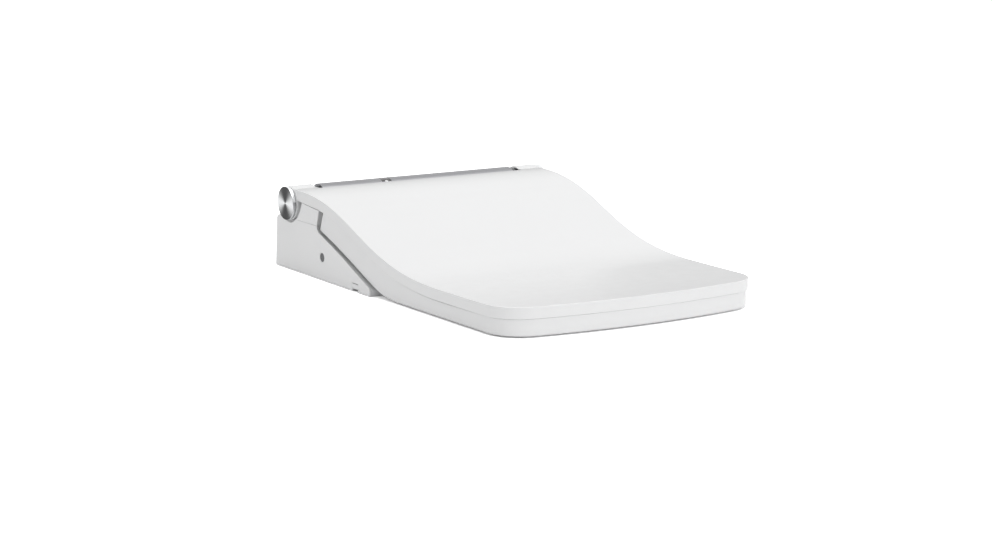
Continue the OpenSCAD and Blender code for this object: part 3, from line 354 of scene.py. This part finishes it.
def gloss_plastic(name, shade):
    """Glossy moulded plastic: fine orange peel, faint flow marks and a few rubbed patches."""
    rough, rough_spread, flow_shade, peel_depth = 0.22, 0.10, 0.975, 0.000012
    material, wire = new_finish(name)
    place = wire.node("ShaderNodeTexCoord", out="Object")
    flow = wire.node("ShaderNodeTexNoise", None, {"Vector": place, "Scale": 7.0, "Detail": 3.0})
    rub = wire.node("ShaderNodeTexNoise", None, {"Vector": place, "Scale": 55.0, "Detail": 5.0,
                                                 "Roughness": 0.6})
    peel = wire.node("ShaderNodeTexNoise", None, {"Vector": place, "Scale": 420.0, "Detail": 2.0})
    fine = wire.node("ShaderNodeTexNoise", None, {"Vector": place, "Scale": 2600.0, "Detail": 1.0})
    deeper = tuple(c * flow_shade for c in shade)
    colour = wire.node("ShaderNodeMix", {"data_type": "RGBA"},
                       {0: flow, 6: (*shade, 1), 7: (*deeper, 1)}, out=2)
    dents = wire.node("ShaderNodeBump", None,
                      {"Height": peel * 0.8 + fine * 0.2, "Strength": 0.6, "Distance": peel_depth})
    wire.node("ShaderNodeOutputMaterial", None, {"Surface": wire.node(
        "ShaderNodeBsdfPrincipled", None,
        {"Base Color": colour, "Roughness": rub * rough_spread + (rough - rough_spread / 2),
         "IOR": 1.49, "Coat Weight": 0.35, "Coat Roughness": 0.06, "Normal": dents})})
    return material


white = gloss_plastic("gloss_white_plastic", (0.86, 0.863, 0.866))


def build_lid():
    """Rings from the crown down the outside to the foot, then up the inside."""
    crown_in, edge_r, foot_r, inner_bevel = 0.006, 0.0009, 0.0002, 0.0008
    inner_s = lid_edge_s + lid_wall
    rings = [place_ring(plan_line(crown_in, hinge_s), 0.0)]
    rings += [place_ring(plan_line(inset, hinge_s), drop) for inset, drop in round_edge(edge_r)]
    rings += [place_ring(plan_line(inset, hinge_s), lid_t - rise, lid_foot_z)
              for inset, rise in reversed(round_edge(foot_r, 3))]
    rings += [place_ring(plan_line(lid_wall, inner_s), lid_t, lid_foot_z),
              place_ring(plan_line(lid_wall, inner_s), lid_wall + inner_bevel),
              place_ring(plan_line(lid_wall + inner_bevel, inner_s), lid_wall)]
    points, faces = ring_solid(rings)
    return make_piece("lid_shell", points, faces, "lid", white)


lid = build_lid()
ear_in, ear_bevel, ear_edge, bar_gap = 0.152, 0.0005, 0.0013, 0.0006
ear_l = half_w - ear_in
ear = [(0, 0), (bar_r - ear_bevel, 0), (bar_r, ear_bevel)]
ear += [(bar_r - inset, ear_l - drop) for inset, drop in reversed(round_edge(ear_edge))] + [(0, ear_l)]
gap_r = bar_r + bar_gap
gap = [(0, -ear_in), (gap_r, -ear_in), (gap_r, ear_in), (0, ear_in)]
past_hinge, past_crest = 0.002, 0.01
tools = [bar_tool("lid_gap_tool", gap, 0, mirror=False, turns=160),
         block_tool("lid_back_tool", (-ear_in, back_y - lid_edge_s, 0.0),
                    (ear_in, back_y - hinge_s + past_hinge, crest_z + past_crest)),
         bar_tool("lid_right_ear_tool", ear, ear_in, mirror=False, turns=128),
         bar_tool("lid_left_ear_tool", ear, ear_in, mirror=True, turns=128)]
for tool, way in zip(tools, ("DIFFERENCE", "DIFFERENCE", "UNION", "UNION")):
    cut = lid.modifiers.new(way.lower(), "BOOLEAN")
    cut.operation, cut.solver, cut.object = way, "EXACT", tool
apply_modifiers(lid)
for tool in tools:
    bpy.data.objects.remove(tool)
smooth(lid, 32)
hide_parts("lid_top")


# ---------- lid underside ----------
# A thin satin panel of white plastic snapped into the lid from below, with four soft rubber
# bumpers pressed into it that rest on the seat ring.
def dress(names, finish, edge):
    """Gives carried-over pieces their finish, with moulded edges of a small radius."""
    weld_gap, flat_within, bend = 0.00002, math.radians(1), math.radians(38)
    for name in names:
        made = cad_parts[name]
        for slot in made.material_slots:
            slot.material = finish
        if not made.material_slots:
            made.data.materials.append(finish)
        weld = made.modifiers.new("weld", "WELD")
        weld.merge_threshold = weld_gap
        flat = made.modifiers.new("flat_faces", "DECIMATE")
        flat.decimate_type, flat.angle_limit = "DISSOLVE", flat_within
        if edge:
            rim = made.modifiers.new("moulded_edge", "BEVEL")
            rim.width, rim.segments, rim.limit_method, rim.angle_limit = edge, 2, "ANGLE", bend
            rim.use_clamp_overlap = True
        split = made.modifiers.new("real_corners", "EDGE_SPLIT")
        split.split_angle = bend
        even = made.modifiers.new("even_shading", "WEIGHTED_NORMAL")
        even.keep_sharp = True


def matt_plastic(name, shade, rough, grain=1100.0, depth=0.00003, streak=0.06):
    """Moulded plastic or rubber with a spark-eroded grain, slightly uneven in shade and sheen."""
    rough_spread, least_streak = 0.14, 0.004
    material, wire = new_finish(name)
    place = wire.node("ShaderNodeTexCoord", out="Object")
    cloud = wire.node("ShaderNodeTexNoise", None, {"Vector": place, "Scale": 30.0, "Detail": 4.0})
    pits = wire.node("ShaderNodeTexVoronoi", None, {"Vector": place, "Scale": grain})
    fine = wire.node("ShaderNodeTexNoise", None, {"Vector": place, "Scale": grain * 1.7, "Detail": 2.0})
    lighter = tuple(min(1.0, c * (1 + streak) + least_streak) for c in shade)
    colour = wire.node("ShaderNodeMix", {"data_type": "RGBA"},
                       {0: cloud, 6: (*shade, 1), 7: (*lighter, 1)}, out=2)
    dents = wire.node("ShaderNodeBump", None,
                      {"Height": pits * 0.6 + fine * 0.4, "Strength": 0.7, "Distance": depth})
    wire.node("ShaderNodeOutputMaterial", None, {"Surface": wire.node(
        "ShaderNodeBsdfPrincipled", None,
        {"Base Color": colour, "Roughness": cloud * rough_spread + (rough - rough_spread / 2),
         "IOR": 1.48, "Normal": dents})})
    return material


satin_white = matt_plastic("satin_white_plastic", (0.82, 0.823, 0.825), rough=0.38, grain=1500.0,
                           depth=0.00001, streak=0.02)
dress(["lid_underside"], satin_white, edge=0.0006)
pale_rubber = matt_plastic("pale_rubber", (0.62, 0.62, 0.61), rough=0.62, grain=900.0, streak=0.05)
dress(["lid_bumpers"], pale_rubber, edge=0.0009)


# ---------- seat ring ----------
# The heated seat: a deep ring of glossy white moulded plastic under the lid, dished towards its
# oval opening, with a leaning back wall and a rounded lower edge. A bottom ring closes it over
# the heating foil, which is glued in.
seat_low, seat_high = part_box("seat_top")
seat_s, seat_lift = back_y - seat_high.y, seat_low.z
seat_inset, seat_lean, seat_foot_z = 0.002, 0.008, 0.0611
seat_dish, dish_reach = 0.0065, 0.75
lid_gap_s, lid_gap = (0.44, 0.52), (0.0010, 0.0004)
opening_in, opening_half_w, opening_front, opening_back = 0.188, 0.112, 0.120, 0.166
opening_s = depth - opening_in
slope_end_s, slope_end_ease = 0.321, 0.072
slope_ease, slope_sag = 0.1445, 0.048
slope_s = bezier(seat_s, seat_s + slope_ease, slope_end_s - slope_end_ease, slope_end_s)
slope_z = bezier(seat_foot_z, seat_foot_z - slope_sag, seat_lift, seat_lift)


def slope_at(s):
    """Height of the seat's underside at a distance from the body's back."""
    return float(np.interp(s, slope_s, slope_z))


def seat_top_z(s):
    """Height of the seat's outer edge: a gap under the lid, narrower towards the front."""
    return lid_top_z(s) - lid_t - float(np.interp(s, lid_gap_s, lid_gap))


def seat_spokes():
    """Lines across the ring: outer point, its foot, opening point, direction and width."""
    rear_steps = 24
    top_line = plan_line(seat_inset, seat_s + seat_lean)
    foot_line = plan_line(seat_inset, seat_s)
    for line in (top_line, foot_line):
        x, s = line[0]
        line += [((-1 + 2 * i / rear_steps) * x, s) for i in range(1, rear_steps)]
    spokes = []
    for (x, s), foot in zip(top_line, foot_line):
        turn = math.atan2(s - opening_s, x)
        reach = opening_front if s > opening_s else opening_back
        hole_r = 1 / math.hypot(math.cos(turn) / opening_half_w, math.sin(turn) / reach)
        hx, hs = hole_r * math.cos(turn), opening_s + hole_r * math.sin(turn)
        width = math.hypot(x - hx, s - hs)
        spokes.append(((x, s), foot, (hx, hs), ((x - hx) / width, (s - hs) / width), width))
    return spokes


def seat_face(spoke, d, below=0.0):
    """Point of the seat's dished top at a distance from the opening's edge."""
    (hx, hs), (ux, us), width = spoke[2:]
    s = hs + us * d
    inward = max(0.0, 1 - d / (dish_reach * width))
    return hx + ux * d, s, seat_top_z(s) - seat_dish * inward ** 2 - below


def seat_piece(name, columns, finish):
    """A closed ring from one column of points for each spoke."""
    n, m = len(columns), len(columns[0])
    points = [(x, back_y - s, z) for column in columns for x, s, z in column]
    faces = [((i + 1) % n * m + k, i * m + k, i * m + (k + 1) % m, (i + 1) % n * m + (k + 1) % m)
             for k in range(m) for i in range(n)]
    return make_piece(name, points, faces, "seat", finish)


def build_seat():
    """Columns run from the inner wall's foot over the top and down the outer wall to its foot."""
    inner_r, top_r, foot_r, foot_bevel = 0.011, 0.0008, 0.0020, 0.0012
    inner_wall, outer_wall, wall_end, top_steps = 0.003, 0.0042, 0.004, 12
    columns = []
    for spoke in seat_spokes():
        (x, s), (fx, fs), (hx, hs), (ux, us), width = spoke
        hole_z, foot_z, top_z = slope_at(hs), slope_at(fs), seat_top_z(s)
        crown_z = seat_face(spoke, inner_r)[2]
        across = width - top_r - inner_r
        column = [(hx + ux * inner_wall, hs + us * inner_wall, hole_z + wall_end),
                  (hx + ux * inner_wall, hs + us * inner_wall, hole_z),
                  (hx + ux * foot_bevel, hs + us * foot_bevel, hole_z),
                  (hx, hs, hole_z + foot_bevel)]
        column += [(hx + ux * inset, hs + us * inset, crown_z - drop)
                   for drop, inset in round_edge(inner_r, 6)]
        column += [seat_face(spoke, inner_r + across * i / top_steps) for i in range(1, top_steps + 1)]
        column += [(x - ux * inset, s - us * inset, top_z - drop)
                   for inset, drop in round_edge(top_r)[1:]]
        column += [(fx - ux * inset, fs - us * inset, foot_z + rise)
                   for rise, inset in round_edge(foot_r)]
        column += [(fx - ux * outer_wall, fs - us * outer_wall, foot_z),
                   (fx - ux * outer_wall, fs - us * outer_wall, foot_z + wall_end)]
        columns.append(column)
    return seat_piece("seat_ring", columns, white)


seat = build_seat()
smooth(seat, 40)
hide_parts("seat_top")
dress(["seat_bottom"], satin_white, edge=0.0008)
dress(["seat_bumpers"], pale_rubber, edge=0.0008)
dress(["seat_sensor"], matt_plastic("black_plastic", (0.022, 0.022, 0.023), rough=0.45), edge=0.0004)


def foil_film(name):
    """Heating foil: amber film over a thin etched track that winds to and fro."""
    amber, etched = (0.42, 0.20, 0.045), (0.55, 0.42, 0.26)
    material, wire = new_finish(name)
    place = wire.node("ShaderNodeTexCoord", out="Object")
    track = wire.node("ShaderNodeTexWave", {"wave_type": "BANDS", "bands_direction": "X"},
                      {"Vector": place, "Scale": 38.0, "Distortion": 2.5, "Detail Scale": 0.5}, out="Fac")
    creases = wire.node("ShaderNodeTexNoise", None, {"Vector": place, "Scale": 90.0, "Detail": 5.0})
    metal = wire.node("ShaderNodeValToRGB", {"stops": [(0.0, (0, 0, 0)), (0.55, (0, 0, 0)),
                                                       (0.62, (1, 1, 1))]}, {"Fac": track})
    colour = wire.node("ShaderNodeMix", {"data_type": "RGBA"},
                       {0: metal, 6: (*amber, 1), 7: (*etched, 1)}, out=2)
    dents = wire.node("ShaderNodeBump", None, {"Height": creases, "Strength": 0.5, "Distance": 0.0003})
    wire.node("ShaderNodeOutputMaterial", None, {"Surface": wire.node(
        "ShaderNodeBsdfPrincipled", None,
        {"Base Color": colour, "Roughness": creases * 0.2 + 0.22, "Metallic": metal * 0.8,
         "Coat Weight": 0.5, "Normal": dents})})
    return material


def build_foil():
    """The heating foil, glued under the seat's upper wall and following its dish."""
    wall, foil_t, inner_in, outer_in, foil_steps = 0.0032, 0.0006, 0.013, 0.010, 10
    columns = []
    for spoke in seat_spokes():
        across = spoke[4] - outer_in - inner_in
        places = [inner_in + across * i / foil_steps for i in range(foil_steps + 1)]
        columns.append([seat_face(spoke, d, wall) for d in places]
                       + [seat_face(spoke, d, wall + foil_t) for d in reversed(places)])
    return seat_piece("heating_foil", columns, foil_film("heating_foil"))


heating_foil = build_foil()
smooth(heating_foil, 40)
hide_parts("seat_heater")


# ---------- seat arms ----------
# Dark arms of glass-filled plastic that carry the seat: a round knuckle on the hinge shaft at
# each end of the bar, and a web screwed to the seat's back wall.
dark_plastic = matt_plastic("dark_plastic", (0.085, 0.088, 0.092), rough=0.42, grain=1300.0, streak=0.15)
dress(["left_seat_arm", "right_seat_arm"], dark_plastic, edge=0.0006)


# ---------- body ----------
# The low housing behind the seat, of glossy white moulded plastic: one cover with a sloping front
# over two shoulders, an upright front wall between them and a flat panel on each side, all
# clipped together.
dress(["upper_cover", "front_panel"], white, edge=0.00015)
dress(["left_side_panel", "right_side_panel"], white, edge=0.0002)


# ---------- hinge bar ----------
# A thin-walled aluminium tube, brushed along its length and clear anodised. Dark plates close
# its ends, and a dark window in its upper side covers the sensor that sees a person coming.
def brushed_metal(name, shade):
    """Metal brushed along X: long streaks in tone, sheen and height."""
    rough, rough_spread, dark_streak = 0.3, 0.16, 0.80
    material, wire = new_finish(name)
    place = wire.node("ShaderNodeTexCoord", out="Object")
    drawn = wire.node("ShaderNodeMapping", None, {"Vector": place, "Scale": (6.0, 1500.0, 1500.0)})
    streak = wire.node("ShaderNodeTexNoise", None, {"Vector": drawn, "Scale": 1.0, "Detail": 4.0,
                                                    "Roughness": 0.65})
    cloud = wire.node("ShaderNodeTexNoise", None, {"Vector": place, "Scale": 14.0, "Detail": 3.0})
    darker = tuple(c * dark_streak for c in shade)
    colour = wire.node("ShaderNodeMix", {"data_type": "RGBA"},
                       {0: streak * 0.8 + cloud * 0.2, 6: (*darker, 1), 7: (*shade, 1)}, out=2)
    dents = wire.node("ShaderNodeBump", None, {"Height": streak, "Strength": 0.5, "Distance": 0.00001})
    wire.node("ShaderNodeOutputMaterial", None, {"Surface": wire.node(
        "ShaderNodeBsdfPrincipled", None,
        {"Base Color": colour, "Roughness": streak * rough_spread + (rough - rough_spread / 2),
         "Metallic": 1.0, "Normal": dents})})
    return material


dress(["hinge_bar"], brushed_metal("brushed_aluminium", (0.35, 0.35, 0.365)), edge=0.0003)
dress(["bar_end_plates"], dark_plastic, edge=0.0005)


def dark_glass(name):
    """Smoked acrylic: almost black, polished, with fine dust in its sheen."""
    clean, dusty = (0.010, 0.008, 0.011), (0.024, 0.018, 0.022)
    material, wire = new_finish(name)
    place = wire.node("ShaderNodeTexCoord", out="Object")
    dust = wire.node("ShaderNodeTexNoise", None, {"Vector": place, "Scale": 900.0, "Detail": 3.0})
    tint = wire.node("ShaderNodeMix", {"data_type": "RGBA"},
                     {0: dust, 6: (*clean, 1), 7: (*dusty, 1)}, out=2)
    wire.node("ShaderNodeOutputMaterial", None, {"Surface": wire.node(
        "ShaderNodeBsdfPrincipled", None,
        {"Base Color": tint, "Roughness": dust * 0.08 + 0.05, "IOR": 1.49, "Coat Weight": 0.6})})
    return material


def build_pane():
    """The window over the sensor: a thin dark pane that follows the bar's curve."""
    low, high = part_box("sensor_window")
    rows, columns, sunk, pane_t = 9, 13, 0.0004, 0.0018
    outer = bar_r - sunk
    a0 = math.acos(min(1.0, (low.y - hinge_y) / outer))
    a1 = math.acos(max(-1.0, (high.y - hinge_y) / outer))
    points, faces = [], []
    for r in (outer, outer - pane_t):
        for i in range(rows):
            for j in range(columns):
                a = a0 + (a1 - a0) * i / (rows - 1)
                x = low.x + (high.x - low.x) * j / (columns - 1)
                points.append((x, hinge_y + r * math.cos(a), hinge_z + r * math.sin(a)))
    count = rows * columns
    for i in range(rows - 1):
        for j in range(columns - 1):
            a, b, c, d = (i * columns + j, i * columns + j + 1,
                          (i + 1) * columns + j + 1, (i + 1) * columns + j)
            faces += [(d, c, b, a), (a + count, b + count, c + count, d + count)]
    rim = list(range(columns)) + [i * columns + columns - 1 for i in range(1, rows)]
    rim += [(rows - 1) * columns + j for j in range(columns - 2, -1, -1)]
    rim += [i * columns for i in range(rows - 2, 0, -1)]
    for a, b in zip(rim, rim[1:] + rim[:1]):
        faces.append((a, b, b + count, a + count))
    return make_piece("sensor_lens", points, faces, "unit", dark_glass("smoked_acrylic"))


pane = build_pane()
smooth(pane, 40)
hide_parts("sensor_window")

bead_r, bead_rise, bead_foot = 0.0030, 0.0014, 0.0024
bead_in, bead_proud, bead_turn = 0.0066, 0.0002, math.radians(60)
dome = [(bead_r * math.sin(a), bead_rise * math.cos(a) - bead_rise)
        for a in (0.35, 0.7, 1.05, 1.35, math.pi / 2)]
points, faces = lathe([(0, 0)] + dome + [(bead_r, -bead_foot), (0, -bead_foot)], turns=32)
bead = make_piece("sensor_bead", points, faces, "unit", satin_white)
bead.matrix_world = (
    Matrix.Translation((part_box("sensor_window")[0].x + bead_in,
                        hinge_y - (bar_r + bead_proud) * math.cos(bead_turn),
                        hinge_z + (bar_r + bead_proud) * math.sin(bead_turn)))
    @ Matrix.Rotation(math.pi / 2 - bead_turn, 4, "X"))
smooth(bead, 50)


def circuit(name):
    """Printed board: solder mask over routed copper, tinned pads and a matt grain."""
    mask, copper, tin = (0.012, 0.085, 0.035), (0.10, 0.33, 0.12), (0.60, 0.59, 0.56)
    material, wire = new_finish(name)
    place = wire.node("ShaderNodeTexCoord", out="Object")
    route = wire.node("ShaderNodeTexBrick", None,
                      {"Vector": place, "Scale": 240.0, "Mortar Size": 0.045, "Brick Width": 1.7,
                       "Row Height": 0.55}, out="Fac")
    dots = wire.node("ShaderNodeTexVoronoi", None, {"Vector": place, "Scale": 330.0})
    pad = dots < 0.20
    cloud = wire.node("ShaderNodeTexNoise", None, {"Vector": place, "Scale": 160.0, "Detail": 3.0})
    board = wire.node("ShaderNodeMix", {"data_type": "RGBA"},
                      {0: route, 6: (*mask, 1), 7: (*copper, 1)}, out=2)
    colour = wire.node("ShaderNodeMix", {"data_type": "RGBA"},
                       {0: pad, 6: board, 7: (*tin, 1)}, out=2)
    dents = wire.node("ShaderNodeBump", None,
                      {"Height": route * 0.5 + pad, "Strength": 0.6, "Distance": 0.00006})
    wire.node("ShaderNodeOutputMaterial", None, {"Surface": wire.node(
        "ShaderNodeBsdfPrincipled", None,
        {"Base Color": colour, "Roughness": cloud * 0.2 + 0.25, "Metallic": pad, "Normal": dents})})
    return material


board_green = circuit("green_board")
dress(["sensor_board"], board_green, edge=0.0)


# ---------- shafts and dampers ----------
# Ground steel shafts in the hinge line, each in the dark cylinder of an oil damper that lets
# the lid or the seat sink slowly.
def ground_metal(name, shade, rough):
    """Plated or ground metal with faint scratches and cloudy patches."""
    rough_spread, rough_under, dark_patch = 0.22, 0.1, 0.78
    material, wire = new_finish(name)
    place = wire.node("ShaderNodeTexCoord", out="Object")
    cloud = wire.node("ShaderNodeTexNoise", None, {"Vector": place, "Scale": 60.0, "Detail": 5.0})
    drawn = wire.node("ShaderNodeMapping", None, {"Vector": place, "Scale": (600.0, 600.0, 30.0)})
    scratch = wire.node("ShaderNodeTexNoise", None, {"Vector": drawn, "Scale": 1.0, "Detail": 3.0})
    darker = tuple(c * dark_patch for c in shade)
    colour = wire.node("ShaderNodeMix", {"data_type": "RGBA"},
                       {0: cloud * 0.6 + scratch * 0.4, 6: (*darker, 1), 7: (*shade, 1)}, out=2)
    dents = wire.node("ShaderNodeBump", None, {"Height": scratch, "Strength": 0.4, "Distance": 0.00002})
    wire.node("ShaderNodeOutputMaterial", None, {"Surface": wire.node(
        "ShaderNodeBsdfPrincipled", None,
        {"Base Color": colour, "Roughness": cloud * rough_spread + (rough - rough_under),
         "Metallic": 1.0, "Normal": dents})})
    return material


steel = ground_metal("steel", (0.62, 0.62, 0.61), rough=0.32)
dress(["left_hinge_shaft", "right_hinge_shaft"], steel, edge=0.0004)
dress(["lid_damper", "seat_damper"], dark_plastic, edge=0.0006)


# ---------- end caps ----------
# Solid round steel caps over the ends of the hinge line. Their faces are turned on a lathe with fine
# circular grooves; the bright and dark wedges on them are a painted sheen in the base colour.
# Pressed onto the shafts.
cap_low, cap_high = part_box("left_end_cap")
cap_r = (cap_high.z - cap_low.z) / 2
cap_l = cap_high.x - cap_low.x
cap_bevel, cap_edge, cap_centre, side_end = 0.0006, 0.0007, 0.0006, 0.001
cap_dish = [(0.93, 0.00015), (0.6, 0.00025), (0.3, 0.0003)]     # part of the radius, depth


def turned_metal(name, face_z):
    """Face-turned metal; grooves circle local Z; a painted sheen of bright wedges lies along Y, dark ones
    between.
    """
    # the two colours of the painted sheen: dark wedges and bright wedges
    dark, bright = (0.008, 0.008, 0.009), (0.95, 0.96, 0.97)
    wedge_turn, wedge_power, full_shine = math.pi, 2.1, 0.97
    material, wire = new_finish(name)
    place = wire.node("ShaderNodeTexCoord", out="Object")
    x = wire.node("ShaderNodeSeparateXYZ", None, {"Vector": place}, out="X")
    y = wire.node("ShaderNodeSeparateXYZ", None, {"Vector": place}, out="Y")
    z = wire.node("ShaderNodeSeparateXYZ", None, {"Vector": place}, out="Z")
    reach = wire.node("ShaderNodeMath", {"operation": "SQRT"}, {0: x * x + y * y})
    rings = wire.node("ShaderNodeCombineXYZ", None, {"X": reach * 9000.0})
    groove = wire.node("ShaderNodeTexNoise", None, {"Vector": rings, "Scale": 1.0, "Detail": 3.0})
    cloud = wire.node("ShaderNodeTexNoise", None, {"Vector": place, "Scale": 120.0, "Detail": 3.0})
    # painted sheen: the base colour turns bright and dark in wedges by angle about the axis
    angle = wire.node("ShaderNodeMath", {"operation": "ARCTAN2"}, {0: y, 1: x})
    fan = wire.node("ShaderNodeMath", {"operation": "COSINE"}, {0: angle * 2.0 + wedge_turn})
    painted_wedge = (fan * 0.5 + 0.5) ** wedge_power
    # the cap's side takes the bright steel colour without the painted wedges; groove and cloud add real
    # grain
    side = z < face_z
    painted_sheen_and_tone = wire.node("ShaderNodeMath", {"operation": "MINIMUM"},
                      {0: painted_wedge * full_shine + groove * 0.05 + cloud * 0.02, 1: 1.0})
    painted_sheen_and_tone = painted_sheen_and_tone + side * (full_shine - painted_sheen_and_tone)
    colour = wire.node("ShaderNodeMix", {"data_type": "RGBA"},
                       {0: painted_sheen_and_tone, 6: (*dark, 1), 7: (*bright, 1)}, out=2)
    dents = wire.node("ShaderNodeBump", None, {"Height": groove, "Strength": 0.35, "Distance": 0.00001})
    wire.node("ShaderNodeOutputMaterial", None, {"Surface": wire.node(
        "ShaderNodeBsdfPrincipled", None,
        {"Base Color": colour, "Roughness": groove * 0.12 + 0.22, "Metallic": 1.0,
         "Anisotropic": 0.75, "Normal": dents})})
    return material


turned = turned_metal("turned_steel", cap_l - side_end)
cap_profile = [(0, 0), (cap_r - cap_bevel, 0), (cap_r, cap_bevel)]
cap_profile += [(cap_r - inset, cap_l - drop) for inset, drop in reversed(round_edge(cap_edge, 3))]
cap_profile += [(cap_r * part, cap_l - deep) for part, deep in cap_dish]
cap_profile += [(cap_centre, cap_profile[-1][1]), (0, cap_profile[-1][1])]
for hand, side in (("left", -1), ("right", 1)):
    points, faces = lathe(cap_profile, turns=128)
    cap = make_piece(f"turned_cap_{hand}", points, faces, "unit", turned)
    low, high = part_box(f"{hand}_end_cap")
    cap.location = (high.x if side < 0 else low.x, hinge_y, hinge_z)
    cap.rotation_euler = (0, side * math.pi / 2, 0)
    smooth(cap, 30)
    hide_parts(f"{hand}_end_cap")


# ---------- release button ----------
# The button that frees the unit from its mounting plate: a white plastic slide at the left
# panel's lower front edge, a dark latch bar clipped behind it and a small steel spring.
dress(["release_button"], white, edge=0.0005)
dress(["release_latch"], dark_plastic, edge=0.0003)
dress(["release_spring"], steel, edge=0.0)


# ---------- round button ----------
# A soft button on the left panel below the seat's back edge: grey rubber with a domed face,
# held in a round hole, which presses the small switch behind it.
grey_rubber = matt_plastic("grey_rubber", (0.135, 0.138, 0.143), rough=0.55, grain=900.0,
                           depth=0.00004, streak=0.12)
dress(["side_button"], grey_rubber, edge=0.0007)
plain_black = bpy.data.materials["black_plastic"]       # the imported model's own, without grain
dress(["side_switch"], plain_black, edge=0.0003)


# ---------- washing wand ----------
# A white plastic tube with a jet head, driven out through the front wall by a rack and pinion.
# It runs in two collars of a grey guide, and a shield closes its window when it is drawn in.
dress(["nozzle_wand", "nozzle_tip", "nozzle_shield"], white, edge=0.0004)
ivory = matt_plastic("ivory_plastic", (0.72, 0.69, 0.58), rough=0.36, grain=1600.0, depth=0.00001,
                     streak=0.04)
dress(["nozzle_rack", "drive_pinion"], ivory, edge=0.00015)
grey_plastic = matt_plastic("grey_plastic", (0.40, 0.41, 0.42), rough=0.5, grain=1200.0, streak=0.05)
dress(["nozzle_housing", "diverter_valve"], grey_plastic, edge=0.0004)
dress(["drive_motor"], steel, edge=0.0005)


# ---------- water ----------
# Cold water comes in through a brass thread under the unit and passes a solenoid valve and a
# plastic heater tank with two steel rods. A pump sends it to the wand through silicone hoses,
# which are pushed over barbs.
dress(["water_inlet"], ground_metal("brass", (0.72, 0.55, 0.27), rough=0.30), edge=0.0004)
dress(["solenoid_valve"], satin_white, edge=0.0005)
dress(["heater_tank"], ivory, edge=0.0008)
dress(["heater_rod"], steel, edge=0.0003)
dress(["water_pump"], plain_black, edge=0.0005)
hose = matt_plastic("silicone_hose", (0.46, 0.47, 0.48), rough=0.34, grain=500.0, streak=0.08)
dress(["water_hoses"], hose, edge=0.0)


# ---------- warm air ----------
# A grey plastic scroll housing with its duct, a black fan wheel pressed onto the motor above
# it, and a row of mica heating fins that stands in the duct.
dress(["dryer_housing"], grey_plastic, edge=0.0005)
dress(["dryer_fan"], plain_black, edge=0.0002)
dress(["dryer_motor"], steel, edge=0.0005)
mica = matt_plastic("mica_heater", (0.44, 0.31, 0.19), rough=0.42, grain=700.0, depth=0.00004,
                    streak=0.25)
dress(["dryer_heater"], mica, edge=0.0)


# ---------- deodorizer ----------
# A second, smaller plastic fan that draws air from the bowl through a cartridge, which slides
# out of the right side for cleaning.
dress(["odour_fan_housing", "filter_bay"], grey_plastic, edge=0.0005)
dress(["odour_fan"], plain_black, edge=0.0002)
dress(["odour_motor"], steel, edge=0.0005)
dress(["filter_cartridge"], white, edge=0.0005)


# ---------- electrics ----------
# The printed control board and power board stand on posts of the tray. The power cord would
# enter through the rubber gland, which is pushed into the back wall.
dress(["control_board", "power_board"], board_green, edge=0.0)
dress(["cord_gland"], grey_rubber, edge=0.0006)


# ---------- base ----------
# A grey plastic tray, screwed on, closes the unit from below and stands on four rubber feet. It
# slides onto the mounting plate, which two bolts through slotted washers clamp to the bowl.
dress(["base_tray", "mounting_plate"], grey_plastic, edge=0.0005)
dress(["plate_washers"], plain_black, edge=0.0005)
dress(["base_feet"], grey_rubber, edge=0.0002)
dress(["case_screws"], steel, edge=0.0002)
